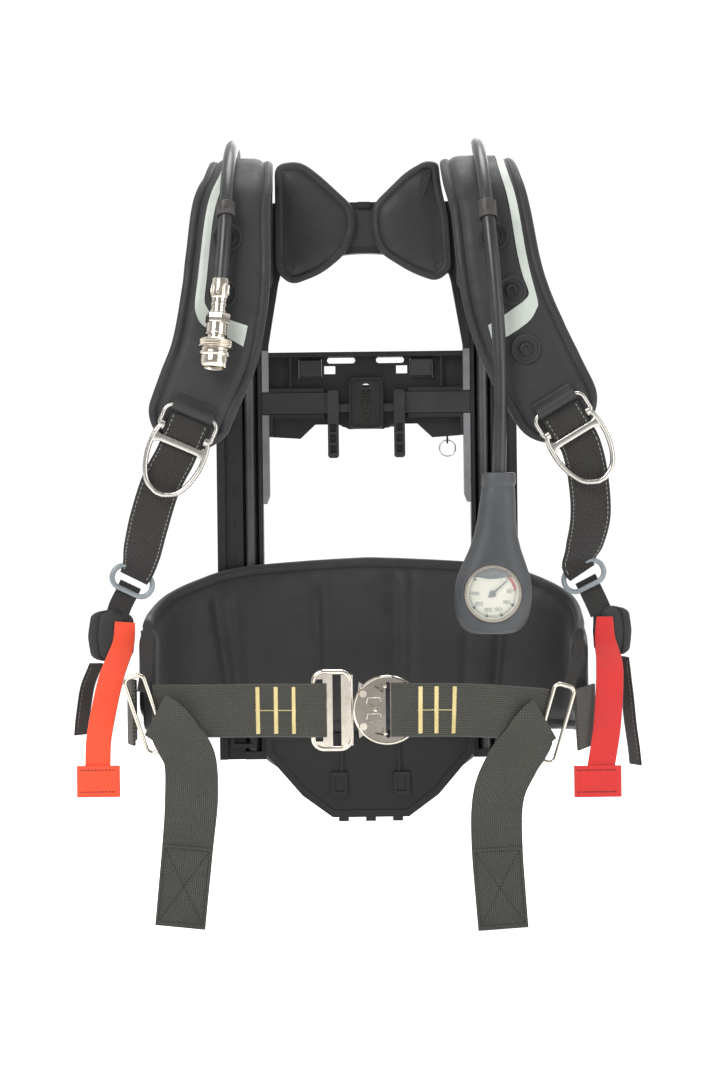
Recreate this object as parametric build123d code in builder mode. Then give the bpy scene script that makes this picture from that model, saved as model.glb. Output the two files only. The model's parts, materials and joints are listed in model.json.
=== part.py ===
"""Air pack carrying frame and harness, without its cylinder.

Frame: millimetres, +Z up, +X to the right as seen by someone facing the wearer, -Y towards the
wearer's chest and +Y towards the cylinder.  The origin is the middle of the base tray's foot.
"""
from build123d import *
import os
from math import cos, sin, tan, radians, pi

os.makedirs("parts", exist_ok=True)

# ---- clearances ----
GAP = 0.3              # between pieces of different bodies, and round soft pieces
SEAT = 0.7             # between a sewn piece and the slightly twisted pad under it
RUN = 0.05             # radial running clearance of a pin in its hole

# ---- rails and height carriage ----
RAIL_IN = 104.0        # half distance between the rails
RAIL_OUT = 150.0       # half width over the rails
RAIL_FRONT = -5.0
RAIL_BACK = 24.0
RAIL_BOTTOM = 62.0
RAIL_TOP = 500.0
RAIL_WALL = 4.0        # inner and rear walls
OUTER_WALL = 8.0
DUCT_WIDTH = 14.8      # hose duct inside the rail
DUCT_WALL = 3.0
DUCT_FRONT = 2.0       # start of the duct's inside
TUBE_R = 5.8
HEIGHT_STEP = 33.0     # distance between two height positions
TRAVEL = HEIGHT_STEP   # height travel each way
LATCH_Z = 417.0        # height of the latch bolts at rest
LATCH_TALL = 21.0
LATCH_TRAVEL = 8.0

SLIDER_IN = 97.0
SLIDER_FRONT = -7.0
SLIDER_BACK = 14.0
SLIDER_BOTTOM = 317.0
SLIDER_TOP = 470.0

# ---- cradle ----
CRADLE_TOP = 468.0
CRADLE_LOW = 384.0
CRADLE_FRONT = 4.0
CRADLE_WALL = 4.0
CUP_HALF = 17.0
CUP_LOW = 391.0
CUP_HIGH = 442.0
FINGER_IN = 27.5
FINGER_WIDTH = 11.0
CYLINDER_R = 80.0      # the cylinder that the pack carries
BLOCK_X = 55.5         # middle of a rubber rest
BAND_Z = 421.0
BAND_WIDTH = 38.0
BAND_THICK = 2.5

# ---- yoke and pads ----
YOKE_TOP = 617.0
YOKE_LOW = 566.0
YOKE_HALF = 125.0
YOKE_FRONT = -7.7
YOKE_BACK = 4.0
PAD_THICK = 14.0
WING_THICK = 12.0

# ---- lumbar and tray ----
PLATE_FRONT = -8.5
LUMBAR_THICK = 18.0
LUMBAR_Y = -18.0       # mid surface behind the wearer's back
TRAY_HALF = RAIL_IN
TRAY_FRONT = -12.0
TRAY_BACK = 8.0
TRAY_WALL = 4.0
TRAY_TOP = 88.0
FOOT = 4.0             # height of the feet under the tray

# ---- pneumatics ----
HOSE_D = 13.0
REDUCER_R = 22.0
REDUCER_Z = 48.0
REDUCER_BACK = 40.0
UNION_Y = 20.0
UNION_END = 46.0
THREAD_R = 11.46       # G5/8 male thread, over the crests
THREAD_LONG = 14.0
WHEEL_R = 26.0
WHEEL_THICK = 10.0
NECK_R = 8.0
SOCKET_R = 6.0         # bore of the air line socket
SOCKET_DEEP = 14.0
STEM_R = 8.5
SLEEVE_TRAVEL = 4.0
GAUGE = (116.5, -175.0, 228.0)
DIAL_R = 24.5
CASE_R = 26.8

# ---- harness ----
WEB_THICK = 2.4
BELT_WIDTH = 50.0
BELT_THICK = 4.0       # two layers
SHOULDER_WEB = 39.0
LEVER_Y = -163.0
LEVER_WIRE = 2.4
BAIL_WIRE = 1.9
EYE_IN = 20.5
EYE_WIDE = 3.0
EYE_R = 4.0
LEVER_LONG = 61.0
BUCKLE_Y = -206.0
BUCKLE_Z = 121.8
BUCKLE_R = 32.5
BUCKLE_X = 15.9
CLIP_X = -6.4
CLIP_RISE = 15.2       # pivot height above and below the buckle's axis
RIVET_R = 2.2

# ---- routes of the hoses, chosen by hand ----
LOWER_ROUTE = [(UNION_END, UNION_Y, REDUCER_Z), (70, 22, 49), (96, 35, 58), (119, 42.5, 82), (132, 35, 112),
               (133.75, 20, 142), (133.75, 11, 172)]
LEFT_ROUTE = [(-133.75, 11, 424), (-133.9, 10.7, 486), (-133.7, 11, 547), (-132, 16, 600), (-129.5, 12, 641),
              (-127.8, -14, 665), (-127.5, -52, 670), (-129, -100, 654), (-131, -140, 617),
              (-131.8, -158, 573), (-136.1, -165, 526)]
RIGHT_ROUTE = [(133.75, 11, 424), (133.9, 10.7, 486), (133.7, 11, 552), (130, 16, 600), (122, 12, 641),
               (115, -14, 665), (112, -52, 671), (112, -102, 656), (115, -143, 617), (119, -161, 567),
               (123.5, -170, 512), (126.4, -173, 453), (126.3, -174, 394), (124.2, -171, 333)]
LEFT_PAD = [(-15, 520, -121, 58, 0), (-15, 600, -121, 60, 0), (-23, 632, -121, 62, 0),
            (-52, 648, -120, 62, 0), (-84, 642, -120, 63, 0), (-106, 625, -122, 68, 0),
            (-121, 599, -128, 75, 0), (-135, 546, -131, 82, 2), (-142, 511, -134, 84, 5),
            (-147, 461, -143.5, 84, 12), (-149, 425, -158, 82, 19), (-149, 395, -170, 78, 23),
            (-149, 370, -178.5, 60, 23)]
RIGHT_PAD = [(-15, 520, 121, 58, 0), (-15, 600, 118, 60, 0), (-23, 632, 113, 64, 0),
             (-52, 648, 111, 70, 0), (-84, 643, 111, 74, 0), (-106, 626, 114, 76, 0),
             (-121, 597, 121, 76, 0), (-135, 543, 128, 80, -2), (-142, 508, 135, 84, -6),
             (-146, 474, 146.5, 87, -12), (-148, 440, 162, 87, -20), (-149, 410, 178, 83, -27),
             (-149, 377, 196.5, 62, -31)]
LEFT_WING = [(-88.5, 655), (-63, 658), (-45, 645), (-10, 612), (-8, 590), (-18, 565), (-43, 545),
             (-73, 534), (-90.5, 548)]
RIGHT_WING = [(75, 655), (62, 657), (42, 646), (9, 614), (7, 592), (14, 566), (47, 545),
              (72, 536), (90, 548), (87, 600), (80, 632)]

# ---- lever planes: local x lies along the pivot and local z faces away from the wearer ----
LEFT_LEVER = Plane(origin=(-172.4, LEVER_Y, 383), x_dir=(0.917, 0, -0.397), z_dir=(0, -1, 0))
RIGHT_LEVER = Plane(origin=(190.2, LEVER_Y, 388), x_dir=(0.859, 0, 0.512), z_dir=(0, -1, 0))
SCREW_HEIGHTS = (96, 160, 224)
KEY_X = 81.0
KEY_Z = 379.0
KEY_R = 8.0
KEY_WIRE = 0.8
BAND_BACK = 154 + BAND_THICK / 2
PIVOT = (23.0, BAND_BACK + 7.4)
YOKE_SCREWS = [(-70, 587), (-40, 587), (40, 587), (70, 587)]
RING_PLANES = [Plane(origin=(-227, -117, 243), x_dir=(0.9, -0.1, -0.42), z_dir=(0.1, -0.98, 0.1)),
               Plane(origin=(207, -117, 243), x_dir=(0.9, 0.1, 0.42), z_dir=(-0.1, -0.98, 0.1))]
RING_HIGH = 22.0
RING_WIRE = 2.6
LEFT_EXIT = Vector(*LEFT_ROUTE[-1]) - Vector(*LEFT_ROUTE[-2])
COUPLING = Plane(origin=LEFT_ROUTE[-1], z_dir=LEFT_EXIT)


def keep(piece, name):
    """Label a finished piece and write it as a STEP file."""
    piece.part.label = name
    export_step(piece.part, f"parts/{name}.step")


def point(plane, x, y, z=0.0):
    """A world point from a plane's own coordinates."""
    return plane.from_local_coords(Vector(x, y, z))


def box(x, y, z, mode=Mode.ADD):
    """A block between two corners' ranges, in the part being built."""
    with Locations(((x[0] + x[1]) / 2, (y[0] + y[1]) / 2, (z[0] + z[1]) / 2)):
        Box(abs(x[1] - x[0]), abs(y[1] - y[0]), abs(z[1] - z[0]), mode=mode)


def front_shape(y):
    """A sketch plane seen from the wearer's side: its x is +X, its y is +Z and it faces -Y."""
    return Plane(origin=(0, y, 0), x_dir=(1, 0, 0), z_dir=(0, -1, 0))


def strap(stations, thickness):
    """A flat strap lofted through (centre, width, across, along) stations."""
    with BuildPart() as band:
        for centre, width, across, along in stations:
            with BuildSketch(Plane(origin=centre, x_dir=across, z_dir=along)):
                Rectangle(width, thickness)
        loft(ruled=True)
    return band


def stations(points, widths, across):
    """Give each point of a strap its width, the way it lies across and the way it runs."""
    points = [Vector(*p) for p in points]
    widths = widths if isinstance(widths, list) else [widths] * len(points)
    across = across if isinstance(across, list) else [across] * len(points)
    result = []
    for i, centre in enumerate(points):
        along = (points[min(i + 1, len(points) - 1)] - points[max(i - 1, 0)]).normalized()
        side = Vector(*across[i])
        side = side - along * side.dot(along)
        result.append((centre, widths[i], side.normalized(), along))
    return result


def route_radii(points):
    """The largest arc that each corner of a hose's route has room for."""
    radii = []
    for before, corner, after in zip(points, points[1:], points[2:]):
        run_in, run_out = corner - before, after - corner
        turn = radians(run_in.get_angle(run_out))
        radii.append(0.45 * min(run_in.length, run_out.length) / tan(turn / 2))
    return radii


def make_hose(route, name):
    """A hose along its route, as straight runs joined by tangent arcs."""
    points = [Vector(*p) for p in route]
    radii = route_radii(points)
    with BuildPart() as hose:
        with BuildLine() as path:
            FilletPolyline(*points, radius=radii)
        with BuildSketch(Plane(origin=points[0], z_dir=points[1] - points[0])):
            Circle(HOSE_D / 2)
        sweep()
    long = sum(edge.length for edge in path.line.edges())
    print(f"{name}: length {long:.0f}, smallest radius {min(radii):.0f},",
          f"volume ratio {hose.part.volume / (long * pi * HOSE_D ** 2 / 4):.4f}")
    keep(hose, name)


# ================================================================ rails
def make_rail(side, name):
    """Height rail: outer wall, hose duct, open pocket for the guide tube and grooved inner wall."""
    duct_in = RAIL_OUT - OUTER_WALL - DUCT_WIDTH
    pocket_end = duct_in - DUCT_WALL
    back = RAIL_BACK - RAIL_WALL
    with BuildPart() as rail:
        box((side * RAIL_IN, side * RAIL_OUT), (RAIL_FRONT, RAIL_BACK), (RAIL_BOTTOM, RAIL_TOP))
        box((side * duct_in, side * (duct_in + DUCT_WIDTH)), (DUCT_FRONT, back),
            (RAIL_BOTTOM - 1, RAIL_TOP + 1), Mode.SUBTRACT)
        box((side * pocket_end, side * (duct_in + DUCT_WIDTH)), (RAIL_FRONT - 1, DUCT_FRONT - DUCT_WALL),
            (RAIL_BOTTOM - 1, RAIL_TOP + 1), Mode.SUBTRACT)
        box((side * (RAIL_IN + RAIL_WALL), side * pocket_end), (RAIL_FRONT - 1, back),
            (RAIL_BOTTOM + 8, RAIL_TOP - 8), Mode.SUBTRACT)
        # groove for the slider's tongue, open at the top
        box((side * (RAIL_IN - 1), side * (RAIL_IN + 2)), (8, 12), (280, RAIL_TOP + 1), Mode.SUBTRACT)
        # latch holes at the three heights
        for step in (-1, 0, 1):
            middle = LATCH_Z + step * HEIGHT_STEP
            box((side * (RAIL_IN - 1), side * (RAIL_IN + RAIL_WALL + 1)), (-3.8, 0.8),
                (middle - 6.3, middle + 6.3), Mode.SUBTRACT)
        # hose entry in the rear wall
        box((side * (duct_in - 1.5), side * (duct_in + DUCT_WIDTH + 1)), (back - 1, RAIL_BACK + 1),
            (100, 185), Mode.SUBTRACT)
        # clip nubs on the duct's front
        for row in range(11):
            box((side * (duct_in + 6), side * (duct_in + 10.5)),
                (DUCT_FRONT - DUCT_WALL - 1.8, DUCT_FRONT - DUCT_WALL), (96 + row * 33, 103 + row * 33))
        # screw holes through the outer wall
        for height in SCREW_HEIGHTS:
            with Locations(Plane(origin=(side * (RAIL_OUT - OUTER_WALL / 2), RAIL_BACK, height),
                                 z_dir=(0, 1, 0))):
                Hole(2 + RUN, depth=RAIL_BACK - RAIL_FRONT)
    keep(rail, name)


def make_frame_screws():
    with BuildPart() as frame_screws:
        for side in (-1, 1):
            for height in SCREW_HEIGHTS:
                spot = Plane(origin=(side * (RAIL_OUT - OUTER_WALL / 2), RAIL_BACK, height), z_dir=(0, 1, 0))
                with BuildSketch(spot):
                    Circle(3.8)
                    RegularPolygon(1.7, 6, mode=Mode.SUBTRACT)
                extrude(amount=2.4)
                with BuildSketch(spot):
                    Circle(3.8)
                extrude(amount=0.6)
                with BuildSketch(spot):
                    Circle(2)
                extrude(amount=-(RAIL_BACK - RAIL_FRONT))
    keep(frame_screws, "frame_screws")


def make_guide_tubes():
    middle = (RAIL_IN + RAIL_WALL + RAIL_OUT - OUTER_WALL - DUCT_WIDTH - DUCT_WALL) / 2
    with BuildPart() as guide_tubes:
        for side in (-1, 1):
            with BuildSketch(Plane.XY.offset(RAIL_BOTTOM + 8)):
                with Locations((side * middle, 5)):
                    Circle(TUBE_R)
                    Circle(TUBE_R - 1.2, mode=Mode.SUBTRACT)
            extrude(amount=RAIL_TOP - RAIL_BOTTOM - 16)
    keep(guide_tubes, "guide_tubes")


def make_sliders():
    """The two slides of the height carriage, each with a tongue in its rail's groove."""
    face = RAIL_IN - GAP
    with BuildPart() as sliders:
        for side in (-1, 1):
            with BuildSketch(front_shape(SLIDER_FRONT)):
                Polygon((side * SLIDER_IN, SLIDER_BOTTOM + 8), (side * (SLIDER_IN + 3), SLIDER_BOTTOM),
                        (side * face, SLIDER_BOTTOM), (side * face, SLIDER_TOP),
                        (side * SLIDER_IN, SLIDER_TOP), align=None)
            extrude(amount=-(SLIDER_BACK - SLIDER_FRONT))
            box((side * face, side * (RAIL_IN + 1.7)), (8 + GAP, 12 - GAP), (SLIDER_BOTTOM + 12, SLIDER_TOP))
            box((side * (SLIDER_IN - 1), side * (RAIL_IN + 3)), (SLIDER_FRONT - 1, -1),
                (LATCH_Z - LATCH_TALL / 2 - 1, LATCH_Z + LATCH_TALL / 2 + 1), Mode.SUBTRACT)
    keep(sliders, "sliders")


# ================================================================ cradle
def make_cradle():
    """Cross member that carries the cylinder, the latches and the key ring."""
    half = SLIDER_IN
    back = CRADLE_FRONT + CRADLE_WALL
    with BuildPart() as cradle:
        with BuildSketch(front_shape(CRADLE_FRONT)):
            Polygon((-half, CRADLE_TOP), (-half, CRADLE_LOW), (-66, CRADLE_LOW - 2), (-51, 396), (-28, 396),
                    (-CUP_HALF, CUP_LOW), (CUP_HALF, CUP_LOW), (28, 396), (51, 396), (66, CRADLE_LOW - 2),
                    (half, CRADLE_LOW), (half, CRADLE_TOP), align=None)
            for side in (-1, 1):
                with Locations((side * 24.5, 460)):
                    SlotOverall(28, 6, mode=Mode.SUBTRACT)
                with Locations((side * BLOCK_X, 452)):
                    Rectangle(23, 18, mode=Mode.SUBTRACT)
                with Locations((side * 36, 450.5)):
                    Rectangle(11, 8, mode=Mode.SUBTRACT)
        extrude(amount=-CRADLE_WALL)
        # top bar and the ribs that guide the latches
        box((-half, half), (-6, SLIDER_BACK), (CRADLE_TOP - 5, CRADLE_TOP))
        for side in (-1, 1):
            for low in (LATCH_Z - LATCH_TALL / 2 - 4.5, LATCH_Z + LATCH_TALL / 2 + 0.5):
                box((side * 42, side * half), (-6, CRADLE_FRONT), (low, low + 4))
            box((side * 74, side * 76.5), (-4, CRADLE_FRONT), (433, CRADLE_TOP - 5))
            box((side * 93.5, side * half), (-6, CRADLE_FRONT), (CRADLE_LOW, 402))
            # lugs that hold the ends of the cylinder band
            box((side * (CYLINDER_R + 3.6), side * (CYLINDER_R + 8.6)), (back, back + 22),
                (BAND_Z - BAND_WIDTH / 2, BAND_Z + BAND_WIDTH / 2))
        # centre cup
        with BuildSketch(front_shape(-9)):
            with Locations((0, (CUP_LOW + CUP_HIGH) / 2)):
                RectangleRounded(2 * CUP_HALF, CUP_HIGH - CUP_LOW, 6)
        extrude(amount=-(CRADLE_FRONT + 9))
        with BuildSketch(front_shape(-9)):
            with Locations((0, (CUP_LOW + CUP_HIGH) / 2)):
                RectangleRounded(2 * CUP_HALF - 4, CUP_HIGH - CUP_LOW - 4, 4.5)
        extrude(amount=-2.5, mode=Mode.SUBTRACT)
        with BuildSketch(front_shape(-9)):
            with Locations((0, (CUP_LOW + CUP_HIGH) / 2)):
                SlotOverall(40, 10, rotation=90)
        extrude(amount=-(back + 10), mode=Mode.SUBTRACT)
        # rod guides through the cup's sides
        box((-CUP_HALF - 1, CUP_HALF + 1), (-5.7, -1.3), (LATCH_Z - 9.3, LATCH_Z - 0.7), Mode.SUBTRACT)
        # eye for the key ring under the right gusset
        with BuildSketch(Plane(origin=(KEY_X - 0.9, 0, 0), x_dir=(0, 1, 0), z_dir=(1, 0, 0))):
            with Locations((6, KEY_Z + 0.6)):
                SlotOverall(8, 5.4, rotation=90)
            with Locations((6, KEY_Z)):
                Circle(1.7, mode=Mode.SUBTRACT)
        extrude(amount=1.8)
    keep(cradle, "cradle")


def make_key_ring():
    with BuildPart() as key_ring:
        with Locations(Location((KEY_X, 6, KEY_Z - KEY_R), (90, 0, 0))):
            Torus(KEY_R, KEY_WIRE)
    keep(key_ring, "key_ring")


def make_rubber_blocks():
    """Rests with slanted rear faces that fit the cylinder's round wall."""
    axis_y = CRADLE_FRONT + CRADLE_WALL + 0.5 + CYLINDER_R
    with BuildPart() as rubber_blocks:
        for side in (-1, 1):
            box((side * (BLOCK_X - 11.2), side * (BLOCK_X + 11.2)), (-5, 46), (443.3, 460.7))
        with BuildSketch(Plane.XY.offset(440)):
            with Locations((0, axis_y)):
                Circle(CYLINDER_R + GAP)
        extrude(amount=24, mode=Mode.SUBTRACT)
        fillet(rubber_blocks.faces().sort_by(Axis.Y)[:2].edges(), 2)
    keep(rubber_blocks, "rubber_blocks")


def make_latch(side, name):
    """Squeeze latch: a bolt that reaches the rail, a finger grip and a rod in the centre cup."""
    outer = FINGER_IN + FINGER_WIDTH
    with BuildPart() as latch:
        box((side * (outer - 1), side * (RAIL_IN - 0.4)), (-5.5, -1.5),
            (LATCH_Z - LATCH_TALL / 2, LATCH_Z + LATCH_TALL / 2))
        with BuildSketch(front_shape(-12)):
            with Locations((side * (FINGER_IN + FINGER_WIDTH / 2), (362 + 429.5) / 2)):
                RectangleRounded(FINGER_WIDTH, 429.5 - 362, 3)
        extrude(amount=-10.5)
        for row in range(3):
            box((side * (FINGER_IN + 2.5), side * (outer - 2.5)), (-13, -4.5), (367 + row * 10.5, 375 + row * 10.5),
                Mode.SUBTRACT)
        box((side * 15, side * (FINGER_IN + 1)), (-5.4, -1.6), (LATCH_Z - 9, LATCH_Z - 1))
    keep(latch, name)


def band_point(angle):
    """A point of the cylinder band's round, on its own middle."""
    return (-(CYLINDER_R + 2) * cos(angle), 70 + 84 * sin(angle), BAND_Z)


def make_cylinder_band():
    start = CRADLE_FRONT + CRADLE_WALL + 0.5
    ends = [(-(CYLINDER_R + 2), y, BAND_Z) for y in (start, 40)]
    round_part = [band_point(pi * i / 14) for i in range(15)]
    points = ends + round_part + [(-x, y, z) for x, y, z in reversed(ends)]
    keep(strap(stations(points, BAND_WIDTH, (0, 0, 1)), BAND_THICK), "cylinder_band")


def make_band_buckle():
    with BuildPart() as band_buckle:
        box((-25, 30), (BAND_BACK + 0.4, BAND_BACK + 2.8), (BAND_Z - 22, BAND_Z + 22))
        for side in (-1, 1):
            middle = BAND_Z + side * 20.5
            box((PIVOT[0] - 5, PIVOT[0] + 6), (BAND_BACK + 2.8, PIVOT[1] + 4.4), (middle - 1.5, middle + 1.5))
        with Locations(Location((PIVOT[0], PIVOT[1], BAND_Z))):
            Cylinder(2, 60, mode=Mode.SUBTRACT)
    keep(band_buckle, "band_buckle")


def make_band_lever():
    with BuildPart() as band_lever:
        with Locations(Location((PIVOT[0], PIVOT[1], BAND_Z))):
            Cylinder(3.8, 37.4)
            Cylinder(2 - RUN, 46)
        with BuildSketch(Plane.XY.offset(BAND_Z - 16)):
            Polygon((PIVOT[0], PIVOT[1] - 1.6), (PIVOT[0], PIVOT[1] + 1.6), (-20, PIVOT[1] + 0.4),
                    (-31, PIVOT[1] + 5), (-32, PIVOT[1] + 2.6), (-20, PIVOT[1] - 2.2), align=None)
        extrude(amount=32)
    keep(band_lever, "band_lever")


# ================================================================ yoke and pads
def make_yoke():
    with BuildPart() as yoke:
        with BuildSketch(front_shape(YOKE_FRONT)):
            with BuildLine():
                Polyline((-84, 545), (-86, 538), (-SLIDER_IN, 474), (-SLIDER_IN, SLIDER_TOP + 0.1),
                         (-RAIL_IN + GAP, SLIDER_TOP + 0.1), (-RAIL_IN + GAP, 537),
                         (-YOKE_HALF, 560), (-YOKE_HALF, 608), (-110, YOKE_TOP),
                         (110, YOKE_TOP), (YOKE_HALF, 608), (YOKE_HALF, 560),
                         (RAIL_IN - GAP, 537), (RAIL_IN - GAP, SLIDER_TOP + 0.1),
                         (SLIDER_IN, SLIDER_TOP + 0.1), (SLIDER_IN, 474), (86, 538), (84, 545))
                ThreePointArc((84, 545), (0, YOKE_LOW), (-84, 545))
            make_face()
        extrude(amount=-(YOKE_BACK - YOKE_FRONT))
        # raised bar between the pad wings, and the seat of the plate
        box((-6, 6), (YOKE_FRONT - 4, YOKE_FRONT), (611, YOKE_TOP))
        box((-22, 22), (YOKE_FRONT - 1, YOKE_FRONT + 1.2), (573, 609), Mode.SUBTRACT)
        # stiffening ribs on the rear face
        for side in (-1, 1):
            box((side * 98, side * 101), (YOKE_BACK, YOKE_BACK + 8), (474, 603))
        for low in (572, 600):
            box((-98, 98), (YOKE_BACK, YOKE_BACK + 8), (low, low + 3))
        for spot in YOKE_SCREWS:
            with Locations(Plane(origin=(spot[0], YOKE_BACK, spot[1]), z_dir=(0, 1, 0))):
                Hole(2 + RUN, depth=YOKE_BACK - YOKE_FRONT)
    keep(yoke, "yoke")


def make_yoke_screws():
    with BuildPart() as yoke_screws:
        for x, z in YOKE_SCREWS:
            spot = Plane(origin=(x, YOKE_BACK, z), z_dir=(0, 1, 0))
            with BuildSketch(spot):
                Circle(4)
                RegularPolygon(1.8, 6, mode=Mode.SUBTRACT)
            extrude(amount=2.6)
            with BuildSketch(spot):
                Circle(4)
            extrude(amount=0.6)
            with BuildSketch(spot):
                Circle(2)
            extrude(amount=-(YOKE_BACK - YOKE_FRONT))
    keep(yoke_screws, "yoke_screws")


def make_yoke_plate():
    with BuildPart() as yoke_plate:
        box((-22, 22), (YOKE_FRONT, YOKE_FRONT + 1.2), (573, 609))
    keep(yoke_plate, "yoke_plate")


def make_pad(rows, name):
    """Shoulder pad bent over the shoulder, as a plain solid."""
    points = [(x, y, z) for y, z, x, width, tilt in rows]
    widths = [row[3] for row in rows]
    across = [(cos(radians(row[4])), 0, -sin(radians(row[4]))) for row in rows]
    keep(strap(stations(points, widths, across), PAD_THICK), name)


def make_wing(outline, name):
    with BuildPart() as wing:
        with BuildSketch(front_shape(YOKE_FRONT - GAP)):
            Polygon(*outline, align=None)
        extrude(amount=WING_THICK)
    keep(wing, name)


def pad_front(rows, x, z):
    """The plane on a pad's front face at a height, with its normal away from the wearer."""
    for upper, lower in zip(rows[5:], rows[6:]):
        if upper[1] >= z >= lower[1]:
            share = (upper[1] - z) / (upper[1] - lower[1])
            y = upper[0] + share * (lower[0] - upper[0])
            normal = Vector(0, lower[1] - upper[1], upper[0] - lower[0]).normalized()
            return Plane(origin=Vector(x, y, z) + normal * (PAD_THICK / 2 + SEAT), x_dir=(1, 0, 0), z_dir=normal)
    raise ValueError("no pad at this height")


def make_hose_buttons():
    """Round hose holders sewn to the fronts of the pads."""
    spots = [(LEFT_PAD, -133, 572), (LEFT_PAD, -134.5, 514), (RIGHT_PAD, 120, 566), (RIGHT_PAD, 138, 516),
             (RIGHT_PAD, 152, 461)]
    with BuildPart() as hose_buttons:
        for rows, x, z in spots:
            with BuildSketch(pad_front(rows, x, z)):
                Circle(13.5)
            extrude(amount=2.2)
            with BuildSketch(pad_front(rows, x, z)):
                Circle(13.5)
                Circle(10.5, mode=Mode.SUBTRACT)
            extrude(amount=3.4)
    keep(hose_buttons, "hose_buttons")


# ================================================================ levers and shoulder webbing
def make_lever(plane, name):
    """D shaped release lever with a cross bar, turning on the ends of its bail."""
    reach = EYE_IN + EYE_WIDE / 2
    side_points = [(reach, -2.6), (26.8, -13), (25, -33), (15.5, -53)]
    points = side_points + [(0, -LEVER_LONG)] + [(-x, y) for x, y in reversed(side_points)]
    with BuildPart() as lever:
        with BuildLine(plane):
            Spline(*points)
        with BuildSketch(Plane(origin=point(plane, *points[0]),
                               z_dir=point(plane, *points[1]) - point(plane, *points[0]))):
            Circle(LEVER_WIRE)
        sweep()
        with BuildSketch(plane.offset(-1.7)):
            with Locations((0, -12)):
                Rectangle(52, 7.5)
        extrude(amount=3.4)
        for side in (-1, 1):
            with BuildSketch(Plane(origin=point(plane, side * EYE_IN, 0), z_dir=plane.x_dir * side)):
                Circle(EYE_R)
            extrude(amount=EYE_WIDE)
        with BuildSketch(Plane(origin=point(plane, -40, 0), z_dir=plane.x_dir)):
            Circle(BAIL_WIRE + RUN)
        extrude(amount=80, mode=Mode.SUBTRACT)
    keep(lever, name)


def make_lever_bails():
    """Wire bails fixed to the pads; each lever turns on its bail's two inward ends."""
    leg = EYE_IN + EYE_WIDE + 2.6
    with BuildPart() as lever_bails:
        for plane in (LEFT_LEVER, RIGHT_LEVER):
            with BuildLine(plane):
                FilletPolyline((-EYE_IN + 0.2, 0), (-leg, 0), (-leg, 21), (leg, 21), (leg, 0),
                               (EYE_IN - 0.2, 0), radius=[BAIL_WIRE + 0.15, 8, 8, BAIL_WIRE + 0.15])
            with BuildSketch(Plane(origin=point(plane, -EYE_IN + 0.2, 0), z_dir=-plane.x_dir)):
                Circle(BAIL_WIRE)
            sweep()
    keep(lever_bails, "lever_bails")


def make_lever_tabs():
    """Folded tabs that hold the bails to the pads."""
    with BuildPart() as lever_tabs:
        for plane in (LEFT_LEVER, RIGHT_LEVER):
            with BuildSketch(Plane(origin=point(plane, 16, 0), x_dir=plane.y_dir, z_dir=-plane.x_dir)):
                with BuildLine():
                    Polyline((32, 6.6), (32, 3.6), (27, 0), (24, -4.2), (18, -4.2), (16, 0), (16, 6.6), close=True)
                make_face()
                with Locations((21, 0)):
                    Circle(BAIL_WIRE + GAP, mode=Mode.SUBTRACT)
            extrude(amount=32)
    keep(lever_tabs, "lever_tabs")


def make_shoulder_webbing(plane, tail, tail_across, name):
    """Webbing from under the lever, past the pad's end and down to the webbing ring."""
    start = [point(plane, 0, 13, -5.5), point(plane, 0, 0, -5.5), point(plane, 0, -24, -5.5)]
    points = [(p.X, p.Y, p.Z) for p in start] + tail
    across = [tuple(plane.x_dir)] * 3 + tail_across
    widths = [SHOULDER_WEB] * (len(points) - 2) + [SHOULDER_WEB - 5, SHOULDER_WEB - 9]
    keep(strap(stations(points, widths, across), WEB_THICK), name)


def wire_ring(plane, wide, high, corner, radius):
    """A closed wire ring in the part being built, swept from the middle of its lower run."""
    x, y = wide / 2, high / 2
    flat, upright = x - corner, y - corner
    with BuildLine(plane) as route:
        Line((0, -y), (flat, -y))
        CenterArc((flat, -upright), corner, -90, 90)
        Line((x, -upright), (x, upright))
        CenterArc((flat, upright), corner, 0, 90)
        Line((flat, y), (-flat, y))
        CenterArc((-flat, upright), corner, 90, 90)
        Line((-x, upright), (-x, -upright))
        CenterArc((-flat, -upright), corner, 180, 90)
        Line((-flat, -y), (0, -y))
    with BuildSketch(Plane(origin=point(plane, 0, -high / 2), z_dir=plane.x_dir)) as wire:
        Circle(radius)
    sweep(wire.sketch, path=route.line)


def make_webbing_rings():
    with BuildPart() as webbing_rings:
        for plane in RING_PLANES:
            wire_ring(plane, 40, RING_HIGH, RING_HIGH / 2 - 0.5, RING_WIRE)
    keep(webbing_rings, "webbing_rings")


# ================================================================ hoses, coupling and gauge


def turned(base, steps, mode=Mode.ADD):
    """Stack discs of (start, end, radius) along a plane's normal in the part being built."""
    for start, end, radius in steps:
        with Locations(base.offset(start)):
            Cylinder(radius, end - start, align=(Align.CENTER, Align.CENTER, Align.MIN), mode=mode)


def make_coupling_body():
    with BuildPart() as coupling_body:
        turned(COUPLING, [(0, 20, HOSE_D / 2 + 1.5), (20, 31, 6.5), (41, 52.3, 10), (52.3, 82, STEM_R)])
        with BuildSketch(COUPLING.offset(31)):
            RegularPolygon(10.6, 6, major_radius=False)
        extrude(amount=10)
        turned(COUPLING, [(82 - SOCKET_DEEP, 83, SOCKET_R), (60, 69, 3)], Mode.SUBTRACT)
    keep(coupling_body, "coupling_body")


def make_coupling_sleeve():
    start = 52.3 + SLEEVE_TRAVEL + 0.5
    with BuildPart() as coupling_sleeve:
        turned(COUPLING, [(start, start + 10, 16.5), (start + 10, 84, 13.2)])
        turned(COUPLING, [(start - 1, 85, STEM_R + RUN)], Mode.SUBTRACT)
        for turn in range(24):
            with BuildSketch(COUPLING.offset(start)):
                with PolarLocations(16.9, 1, start_angle=15 * turn):
                    Circle(0.9)
            extrude(amount=10, mode=Mode.SUBTRACT)
    keep(coupling_sleeve, "coupling_sleeve")


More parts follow.
